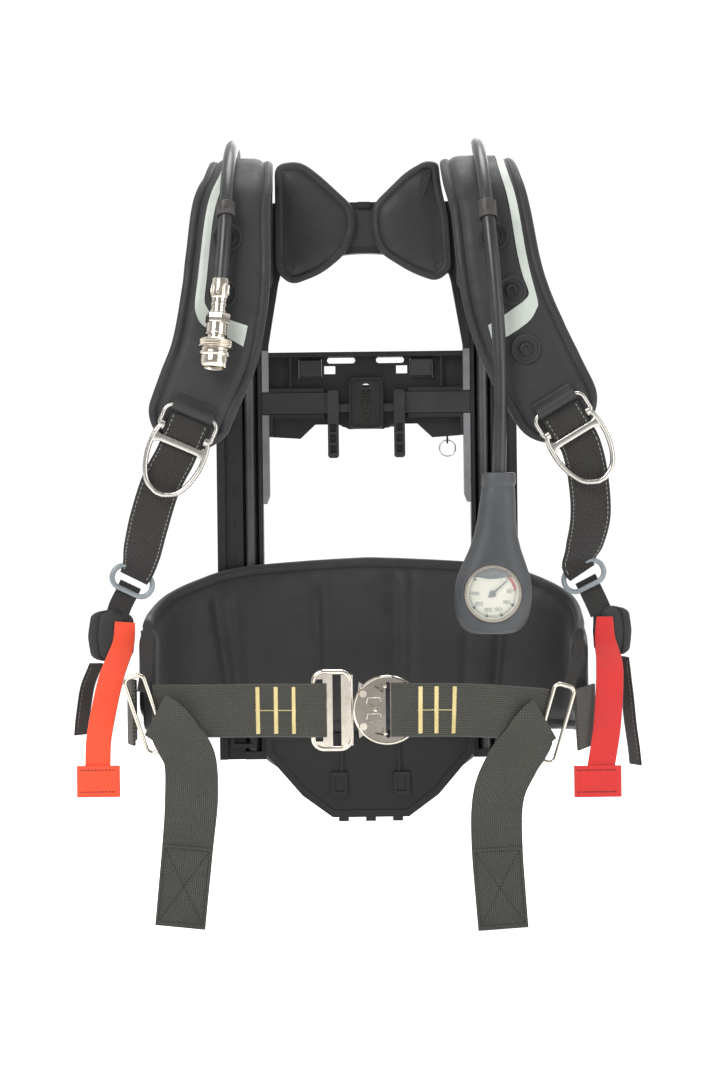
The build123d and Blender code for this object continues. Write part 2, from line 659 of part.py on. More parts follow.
def make_hose_collars():
    """Collars round the hoses, in the middle of a straight run."""
    with BuildPart() as hose_collars:
        for route, length in ((LEFT_ROUTE, 13), (RIGHT_ROUTE, 16)):
            a, b = Vector(*route[8]), Vector(*route[9])
            spot = Plane(origin=(a + b) * 0.5, z_dir=b - a)
            with BuildSketch(spot.offset(-length / 2)):
                Circle(HOSE_D / 2 + 2.6)
                Circle(HOSE_D / 2 + 0.7, mode=Mode.SUBTRACT)
            extrude(amount=length)
    keep(hose_collars, "hose_collars")


def make_gauge_boot():
    """Rubber boot over the gauge and the end of its hose."""
    x, y, z = GAUGE
    rows = [(341, 15, 15, 124.4, -171), (331, 15.5, 15.5, 123.8, -171), (326, 14.5, 14.5, 123.4, -171.5),
            (310, 17, 15, 122.2, -172), (285, 18.5, 16, 120.4, -173.5), (262, 26, 16.5, 118.8, -174.5),
            (248, 33, 17, 117.8, y), (z, 37, 17.5, x, y), (206, 35, 17, x, y), (190, 25, 14, x, y)]
    with BuildPart() as gauge_boot:
        for height, half_x, half_y, cx, cy in rows:
            with BuildSketch(Plane(origin=(cx, cy, height), x_dir=(1, 0, 0), z_dir=(0, 0, 1))):
                RectangleRounded(2 * half_x, 2 * half_y, min(half_x, half_y) - 0.5)
        loft(ruled=True)
        with BuildSketch(front_shape(y - 20)):
            with Locations((x, z)):
                Circle(CASE_R + 0.2)
        extrude(amount=-34, mode=Mode.SUBTRACT)
        # seat of the hose's end
        end, before = Vector(*RIGHT_ROUTE[-1]), Vector(*RIGHT_ROUTE[-2])
        with BuildSketch(Plane(origin=end, z_dir=before - end)):
            Circle(HOSE_D / 2 + GAP)
        extrude(amount=12, mode=Mode.SUBTRACT)
    keep(gauge_boot, "gauge_boot")


def gauge_disc(start, end, radius, mode=Mode.ADD):
    """A disc across the gauge's axis, between two depths measured from the gauge's middle."""
    x, y, z = GAUGE
    with Locations(Plane(origin=(x, y - start, z), x_dir=(1, 0, 0), z_dir=(0, -1, 0))):
        Cylinder(radius, end - start, align=(Align.CENTER, Align.CENTER, Align.MIN), mode=mode)


def make_gauge_parts():
    with BuildPart() as gauge_case:
        gauge_disc(-13.6, 14, CASE_R)
        gauge_disc(1, 15, DIAL_R + 0.2, Mode.SUBTRACT)
        gauge_disc(-4, 2, 1.2 + RUN, Mode.SUBTRACT)
    keep(gauge_case, "gauge_case")
    with BuildPart() as gauge_dial:
        gauge_disc(1.1, 2.1, DIAL_R)
        gauge_disc(0, 3, 1.2 + RUN, Mode.SUBTRACT)
    keep(gauge_dial, "gauge_dial")
    with BuildPart() as gauge_lens:
        gauge_disc(10, 12, DIAL_R)
    keep(gauge_lens, "gauge_lens")
    x, y, z = GAUGE
    with BuildPart() as gauge_pointer:
        gauge_disc(-3, 5, 1.2)
        gauge_disc(4, 6.2, 5)
        with BuildSketch(front_shape(y - 4)):
            Polygon((x - 2.4, z), (x + 2.4, z), (x + 15, z + 13.2), (x + 13.8, z + 14.4), (x - 1.5, z + 2.5),
                    align=None)
        extrude(amount=1)
    keep(gauge_pointer, "gauge_pointer")


# ================================================================ tray and reducer
def make_base_tray():
    outline = [(-TRAY_HALF, TRAY_TOP), (-TRAY_HALF, 68), (-68, 26), (-38, FOOT), (38, FOOT), (68, 26),
               (TRAY_HALF, 68), (TRAY_HALF, TRAY_TOP)]
    with BuildPart() as base_tray:
        with BuildSketch(front_shape(TRAY_FRONT)):
            Polygon(*outline, align=None)
        extrude(amount=-(TRAY_BACK - TRAY_FRONT))
        with BuildSketch(front_shape(TRAY_FRONT + TRAY_WALL)) as inside:
            Polygon(*outline, align=None)
            offset(amount=-TRAY_WALL, mode=Mode.REPLACE)
            with Locations((0, TRAY_TOP)):
                Rectangle(2 * TRAY_HALF - 2 * TRAY_WALL, 20)
        extrude(amount=-40, mode=Mode.SUBTRACT)
        # shallow recess inside a raised rim on the front
        with BuildSketch(front_shape(TRAY_FRONT)):
            Polygon(*outline, align=None)
            offset(amount=-7, mode=Mode.REPLACE)
        extrude(amount=-1.6, mode=Mode.SUBTRACT)
        # saddle for the reducer, behind the front wall
        with BuildSketch(front_shape(TRAY_FRONT + TRAY_WALL)):
            with Locations((0, (FOOT + REDUCER_Z - 10) / 2)):
                Rectangle(34, REDUCER_Z - 10 - FOOT)
        extrude(amount=-(REDUCER_BACK - TRAY_FRONT - TRAY_WALL - 6))
        with BuildSketch(front_shape(TRAY_FRONT + TRAY_WALL)):
            with Locations((0, REDUCER_Z)):
                Circle(REDUCER_R + 0.1)
        extrude(amount=-60, mode=Mode.SUBTRACT)
        # three feet, and two strap guides on the front
        for x in (-27, 0, 27):
            box((x - 5, x + 5), (TRAY_FRONT, TRAY_BACK), (0, FOOT + 0.5))
        for side in (-1, 1):
            box((side * 23, side * 39), (TRAY_FRONT - 4, TRAY_FRONT + 1), (26, 49))
            box((side * 27, side * 30), (TRAY_FRONT - 2, TRAY_FRONT + 1), (49, 84))
            box((side * 26, side * 36), (TRAY_FRONT - 5, TRAY_FRONT - 2), (30, 45), Mode.SUBTRACT)
    keep(base_tray, "base_tray")


def make_lumbar_plate():
    with BuildPart() as lumbar_plate:
        with BuildSketch(front_shape(PLATE_FRONT)):
            Polygon((-RAIL_OUT, TRAY_TOP), (RAIL_OUT, TRAY_TOP), (RAIL_OUT, 228), (110, 250), (-110, 250),
                    (-RAIL_OUT, 228), align=None)
            for side in (-1, 1):
                with Locations((side * 48, 165)):
                    RectangleRounded(70, 100, 12, mode=Mode.SUBTRACT)
        extrude(amount=-(RAIL_FRONT - PLATE_FRONT))
        # small strap loop under the left edge
        box((-139, -113), (PLATE_FRONT, RAIL_FRONT), (74, TRAY_TOP))
        box((-135.5, -116.5), (PLATE_FRONT - 1, RAIL_FRONT + 1), (78, 84), Mode.SUBTRACT)
    keep(lumbar_plate, "lumbar_plate")


def make_lumbar_pad():
    """Waist pad that bends forward round the hips: (x, y, bottom, top) from left to right."""
    rows = [(-213, -142, 104, 203), (-210, -100, 94, 213), (-194, -62, 90, 227), (-160, -34, 90, 243),
            (-112, LUMBAR_Y, 90, 256), (0, LUMBAR_Y, 90, 263), (112, LUMBAR_Y, 90, 256), (158, -34, 90, 243),
            (190, -62, 90, 225), (202, -98, 92, 205), (201, -138, 98, 187)]
    points = [(x, y, (low + high) / 2) for x, y, low, high in rows]
    widths = [high - low for x, y, low, high in rows]
    keep(strap(stations(points, widths, (0, 0, 1)), LUMBAR_THICK), "lumbar_pad")


def make_reducer():
    """Pressure reducer, its neck and its two outlet bosses, lying along Y."""
    axis = Plane(origin=(0, 0, REDUCER_Z), x_dir=(1, 0, 0), z_dir=(0, 1, 0))
    start = TRAY_FRONT + TRAY_WALL
    with BuildPart() as reducer:
        turned(axis, [(start, REDUCER_BACK - 4, REDUCER_R), (REDUCER_BACK - 4, REDUCER_BACK, REDUCER_R - 3),
                      (REDUCER_BACK, REDUCER_BACK + 10, NECK_R)])
        for groove in (6, 11):
            with BuildSketch(axis.offset(groove)):
                Circle(REDUCER_R + 1)
                Circle(REDUCER_R - 1, mode=Mode.SUBTRACT)
            extrude(amount=2, mode=Mode.SUBTRACT)
        for side in (-1, 1):
            turned(Plane(origin=(0, UNION_Y, REDUCER_Z), z_dir=(side, 0, 0)), [(15, REDUCER_R + 4, 8.5)])
    keep(reducer, "reducer")


def make_hose_unions():
    with BuildPart() as hose_unions:
        for side in (-1, 1):
            base = Plane(origin=(0, UNION_Y, REDUCER_Z), z_dir=(side, 0, 0))
            with BuildSketch(base.offset(REDUCER_R + 4)):
                RegularPolygon(9, 6, major_radius=False)
            extrude(amount=9)
            turned(base, [(REDUCER_R + 13, UNION_END - SEAT, HOSE_D / 2 + 1.3)])
    keep(hose_unions, "hose_unions")


def make_connector():
    """Threaded cylinder connector with its hand wheel; both turn on the reducer's neck."""
    axis = Plane(origin=(0, 0, REDUCER_Z), x_dir=(1, 0, 0), z_dir=(0, 1, 0))
    start = REDUCER_BACK + GAP
    wheel = start + 4
    thread = wheel + WHEEL_THICK + 2
    with BuildPart() as cylinder_connector:
        turned(axis, [(start, wheel, 15), (wheel, thread, 12.5), (thread, thread + THREAD_LONG, THREAD_R)])
        turned(axis, [(start - 1, REDUCER_BACK + 11, NECK_R + RUN), (start, thread + 20, 3)], Mode.SUBTRACT)
    keep(cylinder_connector, "cylinder_connector")
    with BuildPart() as hand_wheel:
        with BuildSketch(axis.offset(wheel)):
            Circle(WHEEL_R)
            with PolarLocations(WHEEL_R + 3.5, 8):
                Circle(7, mode=Mode.SUBTRACT)
            Circle(12.6, mode=Mode.SUBTRACT)
        extrude(amount=WHEEL_THICK)
        chamfer(hand_wheel.faces().sort_by(Axis.Y)[-1].outer_wire().edges(), 1)
    keep(hand_wheel, "hand_wheel")


# ================================================================ belt and buckle
def make_belts():
    left = [(-204, -177.6, 121), (-186, -179.2, 121.2), (-150, -189.8, 121.5), (-95, -200.5, 122), (-72, -205, 122), (-58, -210.9, 122),
            (-38, -210.9, 122)]
    keep(strap(stations(left, BELT_WIDTH, (0, 0, 1)), BELT_THICK), "left_belt")
    right = [(19.5, -213.8, 121.8), (50, -213.8, 121.5), (74, -208.5, 121), (110, -198, 119), (155, -182.5, 114.5)]
    keep(strap(stations(right, BELT_WIDTH, (0, 0, 1)), BELT_THICK), "right_belt")


def make_belt_tails():
    """Loose belt ends that hang from the sliders, as one group."""
    left = strap(stations([(-193, -190, 113), (-181, -195, 97), (-169, -197, 76), (-168, -197, 40),
                           (-172, -196, -4), (-180, -196, -81)],
                          [44, 46, 49, 50, 48, 47],
                          [(0, 0, 1), (0.35, 0, 0.94), (0.93, 0, 0.37), (1, 0, 0), (1, 0, -0.08),
                           (1, 0, -0.12)]), WEB_THICK)
    right = strap(stations([(157.5, -190.2, 106), (147, -195, 90), (132, -198, 70), (119, -198, 40),
                            (117, -197, -6), (122, -197, -86)],
                           [44, 46, 48, 48, 48, 47],
                           [(0, 0, -1), (0.45, 0, -0.89), (0.93, 0, -0.37), (1, 0, 0), (1, 0, 0.04),
                            (1, 0, 0.04)]), WEB_THICK)
    with BuildPart() as belt_tails:
        add(left.part)
        add(right.part)
    keep(belt_tails, "belt_tails")


def make_triglides():
    """Chrome wire sliders of the belt."""
    with BuildPart() as triglides:
        for origin, lean in (((-211, -184, 119), 0.33), ((173, -184, 106), -0.3)):
            plane = Plane(origin=origin, x_dir=(1, 0, lean), z_dir=(0, -1, 0))
            wire_ring(plane, 19, 74, 6, 2)
    keep(triglides, "triglides")


def make_buckle_frame():
    """Wire frame and tongue of the left half of the buckle."""
    plane = Plane(origin=(-35.5, BUCKLE_Y, BUCKLE_Z), x_dir=(1, 0, 0), z_dir=(0, -1, 0))
    with BuildPart() as buckle_frame:
        wire_ring(plane, 35, 71.5, 10, 2.3)
        box((-44, -35), (BUCKLE_Y - 1.8, BUCKLE_Y + 1.8), (BUCKLE_Z - 34, BUCKLE_Z + 34))
        box((-52, -35), (BUCKLE_Y - 1.5, BUCKLE_Y + 1.5), (BUCKLE_Z + 29, BUCKLE_Z + 34))
        box((-52, -35), (BUCKLE_Y - 1.5, BUCKLE_Y + 1.5), (BUCKLE_Z - 34, BUCKLE_Z - 29))
        box((-27, -16), (BUCKLE_Y - 2, BUCKLE_Y + 2), (BUCKLE_Z - 33, BUCKLE_Z + 33))
        box((-18, 8), (BUCKLE_Y - 1, BUCKLE_Y + 1), (BUCKLE_Z - 9, BUCKLE_Z + 9))
    keep(buckle_frame, "buckle_frame")


def make_buckle_body():
    """Round plate of the right half, with a rear plate that closes round the tongue."""
    with BuildPart() as buckle_body:
        for front, thick in ((BUCKLE_Y - 5.2, 2.2), (BUCKLE_Y + 3, 1.8)):
            with BuildSketch(front_shape(front)):
                with Locations((BUCKLE_X, BUCKLE_Z)):
                    Circle(BUCKLE_R)
                Polygon((-13, BUCKLE_Z + 16), (-2, BUCKLE_Z + 26), (10, BUCKLE_Z + 29), (10, BUCKLE_Z - 29),
                        (0, BUCKLE_Z - 22), (-9, BUCKLE_Z - 17), (-13, BUCKLE_Z - 10), align=None)
                with Locations((16.5, BUCKLE_Z)):
                    SlotOverall(52, 4.2, rotation=90, mode=Mode.SUBTRACT)
                for side in (-1, 1):
                    with Locations((CLIP_X, BUCKLE_Z + side * CLIP_RISE)):
                        Circle(RIVET_R + RUN, mode=Mode.SUBTRACT)
            extrude(amount=-thick)
        box((21, 40), (BUCKLE_Y - 3.5, BUCKLE_Y + 3.5), (BUCKLE_Z - 14, BUCKLE_Z + 14))
        for rise in (6, -6):
            with BuildSketch(front_shape(BUCKLE_Y - 5.2)):
                with Locations((3.5, BUCKLE_Z + rise)):
                    Polygon((-6, 4), (6, 4), (7, -1), (0, -4.5), (-6, -1), align=None)
            extrude(amount=-0.7, mode=Mode.SUBTRACT)
        for side in (-1, 1):
            with BuildSketch(front_shape(BUCKLE_Y - 6)):
                Polygon((4, BUCKLE_Z + side * 22), (12, BUCKLE_Z + side * 16), (13.5, BUCKLE_Z + side * 24),
                        align=None)
            extrude(amount=-4, mode=Mode.SUBTRACT)
    keep(buckle_body, "buckle_body")


def make_buckle_clips():
    """Spring clips on each side of the tongue, with an ear that is pressed to open the buckle."""
    for side, name in ((1, "upper_clip"), (-1, "lower_clip")):
        rise = BUCKLE_Z + side * CLIP_RISE
        with BuildPart() as clip:
            with BuildSketch(front_shape(BUCKLE_Y - 2.4)):
                Polygon((-11.5, rise + side * 0.5), (-10.3, rise + side * 11), (-4, rise + side * 6.5),
                        (9, rise + side * 4), (10, rise + side * 1), (4, rise - side * 5.5),
                        (-3, rise - side * 5.6), (-10, rise - side * 3.5), align=None)
                with Locations((CLIP_X, rise)):
                    Circle(RIVET_R + RUN, mode=Mode.SUBTRACT)
            extrude(amount=-4.8)
        keep(clip, name)


def make_buckle_rivets():
    with BuildPart() as buckle_rivets:
        for side in (-1, 1):
            base = Plane(origin=(CLIP_X, BUCKLE_Y, BUCKLE_Z + side * CLIP_RISE), x_dir=(1, 0, 0), z_dir=(0, -1, 0))
            turned(base, [(5.2, 6.8, 3.4), (-4.8, 5.2, RIVET_R), (-6, -4.8, 3.4)])
    keep(buckle_rivets, "buckle_rivets")


# ================================================================ hips
def group(straps, name):
    """Write several loose straps as one node."""
    with BuildPart() as pieces:
        for item in straps:
            add(item.part)
    keep(pieces, name)


def make_hips():
    left_flap, right_flap = (0.96, 0.28, 0), (0.96, -0.28, 0)
    group([strap(stations([(-246, -122, 216), (-247, -124, 190), (-246, -125, 166)], [40, 46, 40], left_flap), 12),
           strap(stations([(232, -122, 214), (233, -124, 190), (232, -125, 166)], [34, 38, 34], right_flap), 12)],
          "hip_flaps")
    group([strap(stations([(-224.3, -128, 120), (-229, -150, 120), (-222, -181, 120)], [58, 62, 62],
                          (0, 0, 1)), 3),
           strap(stations([(212.6, -128, 112), (212, -148, 112), (194, -178.6, 108)], [54, 58, 58],
                          (0, 0, 1)), 3)], "hip_straps")
    plain = (1, 0, 0)
    group([strap(stations([(-233.6, -127.3, 204), (-235.6, -129.4, 182), (-246, -150, 150), (-256, -163, 100),
                           (-258, -165, 70)], 20, [left_flap, left_flap, plain, plain, plain]), 2),
           strap(stations([(-257.5, -165, 69.6), (-257.5, -165, 40)], 41, (1, 0, 0)), 5),
           strap(stations([(225.6, -129.2, 204), (225.6, -130.6, 182), (228, -150, 155), (224, -167, 105),
                           (217, -170, 65)], 22, [right_flap, right_flap, plain, plain, plain]), 2),
           strap(stations([(214, -170, 64.6), (214, -170, 35)], 45, (1, 0, 0)), 5)], "pull_straps")
    group([strap(stations([(-262, -121, 164.6), (-272, -117, 139), (-278, -114, 96)], 24, (0.45, 0.9, 0)), WEB_THICK),
           strap(stations([(243, -121, 165.5), (248, -117, 123), (255, -114, 61)], 24, (-0.35, 0.9, 0)), WEB_THICK),
           strap(stations([(-212, -143.8, 196), (-210, -162, 172), (-213.5, -180, 140)], 11, plain), 2),
           strap(stations([(200, -145.8, 182), (196, -162, 165), (187, -180, 140)], 11, plain), 2),
           strap(stations([(-233, -118.9, 230.5), (-238.4, -121.3, 220)], 18, (0.9, -0.1, -0.42)), WEB_THICK),
           strap(stations([(213, -118.9, 230.5), (220, -121.6, 217.2)], 18, (0.9, 0.1, 0.42)), WEB_THICK)],
          "hip_webbing")


make_rail(-1, "left_rail")
make_rail(1, "right_rail")
make_frame_screws()
make_guide_tubes()
make_sliders()
make_cradle()
make_key_ring()
make_rubber_blocks()
make_latch(-1, "left_latch")
make_latch(1, "right_latch")
make_cylinder_band()
make_band_buckle()
make_band_lever()
make_yoke()
make_yoke_screws()
make_yoke_plate()
make_pad(LEFT_PAD, "left_shoulder_pad")
make_pad(RIGHT_PAD, "right_shoulder_pad")
make_wing(LEFT_WING, "left_pad_wing")
make_wing(RIGHT_WING, "right_pad_wing")
make_hose_buttons()
make_lever(LEFT_LEVER, "left_lever")
make_lever(RIGHT_LEVER, "right_lever")
make_lever_bails()
make_lever_tabs()
make_shoulder_webbing(LEFT_LEVER, [(-196, -155, 335), (-208, -146, 300), (-216, -131, 272),
                                   (-221.5, -119.4, 255.5)],
                      [(0.95, 0, -0.3), (0.96, 0, -0.25), (0.94, 0, -0.34), (0.9, -0.1, -0.42)],
                      "left_webbing")
make_shoulder_webbing(RIGHT_LEVER, [(209, -155, 340), (212, -146, 302), (207, -131, 273),
                                    (200.5, -115, 256.8)],
                      [(0.97, 0, 0.2), (1, 0, 0.05), (0.95, 0, 0.3), (0.9, 0.1, 0.42)],
                      "right_webbing")
make_webbing_rings()
make_hose([(-x, y, z) for x, y, z in LOWER_ROUTE], "left_lower_hose")
make_hose(LOWER_ROUTE, "right_lower_hose")
make_hose(LEFT_ROUTE, "left_hose")
make_hose(RIGHT_ROUTE, "right_hose")
make_coupling_body()
make_coupling_sleeve()
make_hose_collars()
make_gauge_boot()
make_gauge_parts()
make_base_tray()
make_lumbar_plate()
make_lumbar_pad()
make_reducer()
make_hose_unions()
make_connector()
make_belts()
make_belt_tails()
make_triglides()
make_buckle_frame()
make_buckle_body()
make_buckle_clips()
make_buckle_rivets()
make_hips()
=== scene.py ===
"""Air pack: the visible model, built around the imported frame."""

import json
import math

import bmesh
import bpy
import numpy as np
from mathutils import Matrix, Vector


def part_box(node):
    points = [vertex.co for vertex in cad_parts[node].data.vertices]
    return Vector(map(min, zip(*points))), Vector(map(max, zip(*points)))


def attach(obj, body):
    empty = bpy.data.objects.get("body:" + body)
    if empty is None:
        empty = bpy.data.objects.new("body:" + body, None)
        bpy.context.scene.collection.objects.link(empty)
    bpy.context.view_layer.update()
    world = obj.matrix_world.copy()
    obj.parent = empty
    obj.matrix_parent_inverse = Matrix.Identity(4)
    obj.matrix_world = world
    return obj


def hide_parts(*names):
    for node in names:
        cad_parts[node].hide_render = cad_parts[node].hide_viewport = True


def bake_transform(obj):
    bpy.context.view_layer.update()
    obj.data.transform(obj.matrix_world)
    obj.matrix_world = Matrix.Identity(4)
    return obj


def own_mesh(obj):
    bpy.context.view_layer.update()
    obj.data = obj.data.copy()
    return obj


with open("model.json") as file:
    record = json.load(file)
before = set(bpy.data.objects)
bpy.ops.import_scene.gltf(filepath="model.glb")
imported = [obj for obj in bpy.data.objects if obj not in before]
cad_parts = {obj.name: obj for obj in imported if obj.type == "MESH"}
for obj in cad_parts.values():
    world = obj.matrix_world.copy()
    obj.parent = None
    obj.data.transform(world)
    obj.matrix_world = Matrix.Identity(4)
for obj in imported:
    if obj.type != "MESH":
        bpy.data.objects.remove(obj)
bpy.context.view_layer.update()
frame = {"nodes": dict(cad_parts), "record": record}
MM = 0.001
X, Z = (1, 0, 0), (0, 0, 1)
FINE_THREAD = 0.0004  # stitch radius in metres
FLOOR_Z = -0.0885
# sizes in millimetres
PAD_THICK, BELT_WIDTH, BELT_THICK = 14, 50, 3.8
TACK_LIFT = 2.15
HEM = 76


# ================================================================ materials
class Shade:
    """A node material under construction."""

    def __init__(self, name, **sockets):
        self.mat = bpy.data.materials.new(name)
        self.mat.use_nodes = True
        self.tree = self.mat.node_tree
        self.bsdf = self.tree.nodes["Principled BSDF"]
        for key, value in sockets.items():
            self.bsdf.inputs[key.replace("_", " ")].default_value = value

    def node(self, kind, inputs=(), **settings):
        made = self.tree.nodes.new(kind)
        for key, value in settings.items():
            setattr(made, key, value)
        for key, value in dict(inputs).items():
            if isinstance(value, bpy.types.NodeSocket):
                self.tree.links.new(value, made.inputs[key])
            else:
                made.inputs[key].default_value = value
        return made

    def math(self, operation, a, b=0.0, clamp=False):
        return self.node("ShaderNodeMath", {0: a, 1: b}, operation=operation, use_clamp=clamp).outputs[0]

    def mix(self, share, a, b):
        made = self.node("ShaderNodeMix", {0: share, 6: a, 7: b}, data_type="RGBA")
        return made.outputs[2]

    def spots(self, scale, detail=2.0, source=None, rough=0.55):
        vector = source or self.node("ShaderNodeTexCoord").outputs["Object"]
        return self.node("ShaderNodeTexNoise", {"Vector": vector, "Scale": scale, "Detail": detail,
                                                "Roughness": rough}).outputs["Fac"]

    def ramp(self, value, low, high, to_low=0.0, to_high=1.0):
        return self.node("ShaderNodeMapRange", {0: value, 1: low, 2: high, 3: to_low, 4: to_high}).outputs[0]

    def bump(self, height, strength, distance, under=None):
        made = self.node("ShaderNodeBump", {"Height": height, "Strength": strength, "Distance": distance})
        if under:
            self.tree.links.new(under, made.inputs["Normal"])
        return made.outputs[0]

    def link(self, socket, value):
        self.tree.links.new(value, self.bsdf.inputs[socket])
        return self


def rgb(r, g, b):
    """A colour given as it looks on screen, out of 255."""
    shares = [c / 255 for c in (r, g, b)]
    return tuple((c / 12.92 if c <= 10 / 255 else ((c + 0.055) / 1.055) ** 2.4) for c in shares) + (1,)


def webbing(name, dark, light, rib=1.7, pick=1.9, sheen=0.25, rough=0.78, deep=0.5):
    """Woven strap: ribs run along it and the picks step from rib to rib."""
    s = Shade(name, Sheen_Weight=sheen, Sheen_Roughness=0.5)
    fab = s.node("ShaderNodeAttribute", attribute_name="fab").outputs["Vector"]
    parts = s.node("ShaderNodeSeparateXYZ", {0: fab})
    along, side = parts.outputs[0], parts.outputs[1]
    rows = s.math("DIVIDE", side, rib * MM)
    step = s.math("MULTIPLY", s.math("FLOOR", rows), math.pi)
    across = s.math("ABSOLUTE", s.math("SINE", s.math("MULTIPLY", rows, math.pi)))
    picks = s.math("SINE", s.math("ADD", s.math("MULTIPLY", along, 2 * math.pi / (pick * MM)), step))
    height = s.math("MULTIPLY", across, s.ramp(picks, -1, 1, 0.25, 1))
    worn = s.spots(38.0, 4.0)
    fuzz = s.spots(1500.0, 1.0)
    colour = s.mix(s.math("MULTIPLY", height, s.ramp(worn, 0.3, 0.7, 0.55, 1.0)), dark, light)
    colour = s.mix(s.ramp(fuzz, 0.45, 0.75, 0.0, 0.22), colour, light)
    s.link("Base Color", colour).link("Roughness", s.ramp(worn, 0.3, 0.7, rough, rough + 0.14))
    s.link("Normal", s.bump(fuzz, 0.2, 0.0004, s.bump(height, deep, 0.0006)))
    return s.mat


def cloth(name, dark, light, knit=950.0, rough=0.8, sheen=0.35, deep=0.25):
    """Smooth knitted cover over foam."""
    s = Shade(name, Sheen_Weight=sheen, Sheen_Roughness=0.42)
    at = s.node("ShaderNodeTexCoord").outputs["Object"]
    cells = s.node("ShaderNodeTexVoronoi", {"Vector": at, "Scale": knit}).outputs["Distance"]
    cloud = s.spots(9.0, 5.0)
    worn = s.spots(55.0, 4.0)
    base = s.mix(s.ramp(cloud, 0.35, 0.7), dark, light)
    s.link("Base Color", s.mix(s.ramp(cells, 0.1, 0.6, 0.0, 0.25), base, light))
    s.link("Roughness", s.ramp(worn, 0.3, 0.7, rough - 0.08, rough + 0.08))
    s.link("Normal", s.bump(cells, deep, 0.0003, s.bump(worn, 0.12, 0.002)))
    return s.mat


def moulded(name, dark, light, rough=0.5, grain=700.0, deep=0.18, coat=0.0, spec=0.5):
    """Moulded plastic or rubber with a spark-eroded grain and slight scuffs."""
    s = Shade(name, Coat_Weight=coat, Coat_Roughness=0.3, Specular_IOR_Level=spec)
    pits = s.spots(grain, 2.0)
    cloud = s.spots(14.0, 5.0)
    at = s.node("ShaderNodeTexCoord").outputs["Object"]
    stretched = s.node("ShaderNodeMapping", {"Vector": at, "Scale": (60, 60, 9)}).outputs[0]
    scuffs = s.ramp(s.spots(6.0, 6.0, stretched, 0.7), 0.58, 0.72)
    base = s.mix(s.ramp(cloud, 0.3, 0.7), dark, light)
    s.link("Base Color", s.mix(s.math("MULTIPLY", scuffs, 0.4), base, light))
    s.link("Roughness", s.math("ADD", s.ramp(cloud, 0.3, 0.7, rough - 0.05, rough + 0.08),
                               s.math("MULTIPLY", scuffs, 0.08)))
    s.link("Normal", s.bump(pits, deep, 0.0003))
    return s.mat


def metal(name, dark, light, rough=0.28, brushed=(90, 90, 900), deep=0.02):
    """Bare or plated metal with fine brush marks, stains and small dents."""
    s = Shade(name, Metallic=1.0)
    at = s.node("ShaderNodeTexCoord").outputs["Object"]
    lines = s.spots(2.2, 3.0, s.node("ShaderNodeMapping", {"Vector": at, "Scale": brushed}).outputs[0])
    stain = s.spots(70.0, 5.0)
    s.link("Base Color", s.mix(s.ramp(stain, 0.4, 0.85, 0.0, 0.6), light, dark))
    s.link("Roughness", s.math("ADD", s.ramp(stain, 0.3, 0.75, rough - 0.03, rough + 0.05),
                               s.ramp(lines, 0.3, 0.7, -0.03, 0.05)))
    s.link("Normal", s.bump(lines, deep, 0.0004, s.bump(stain, 0.03, 0.0006)))
    return s.mat


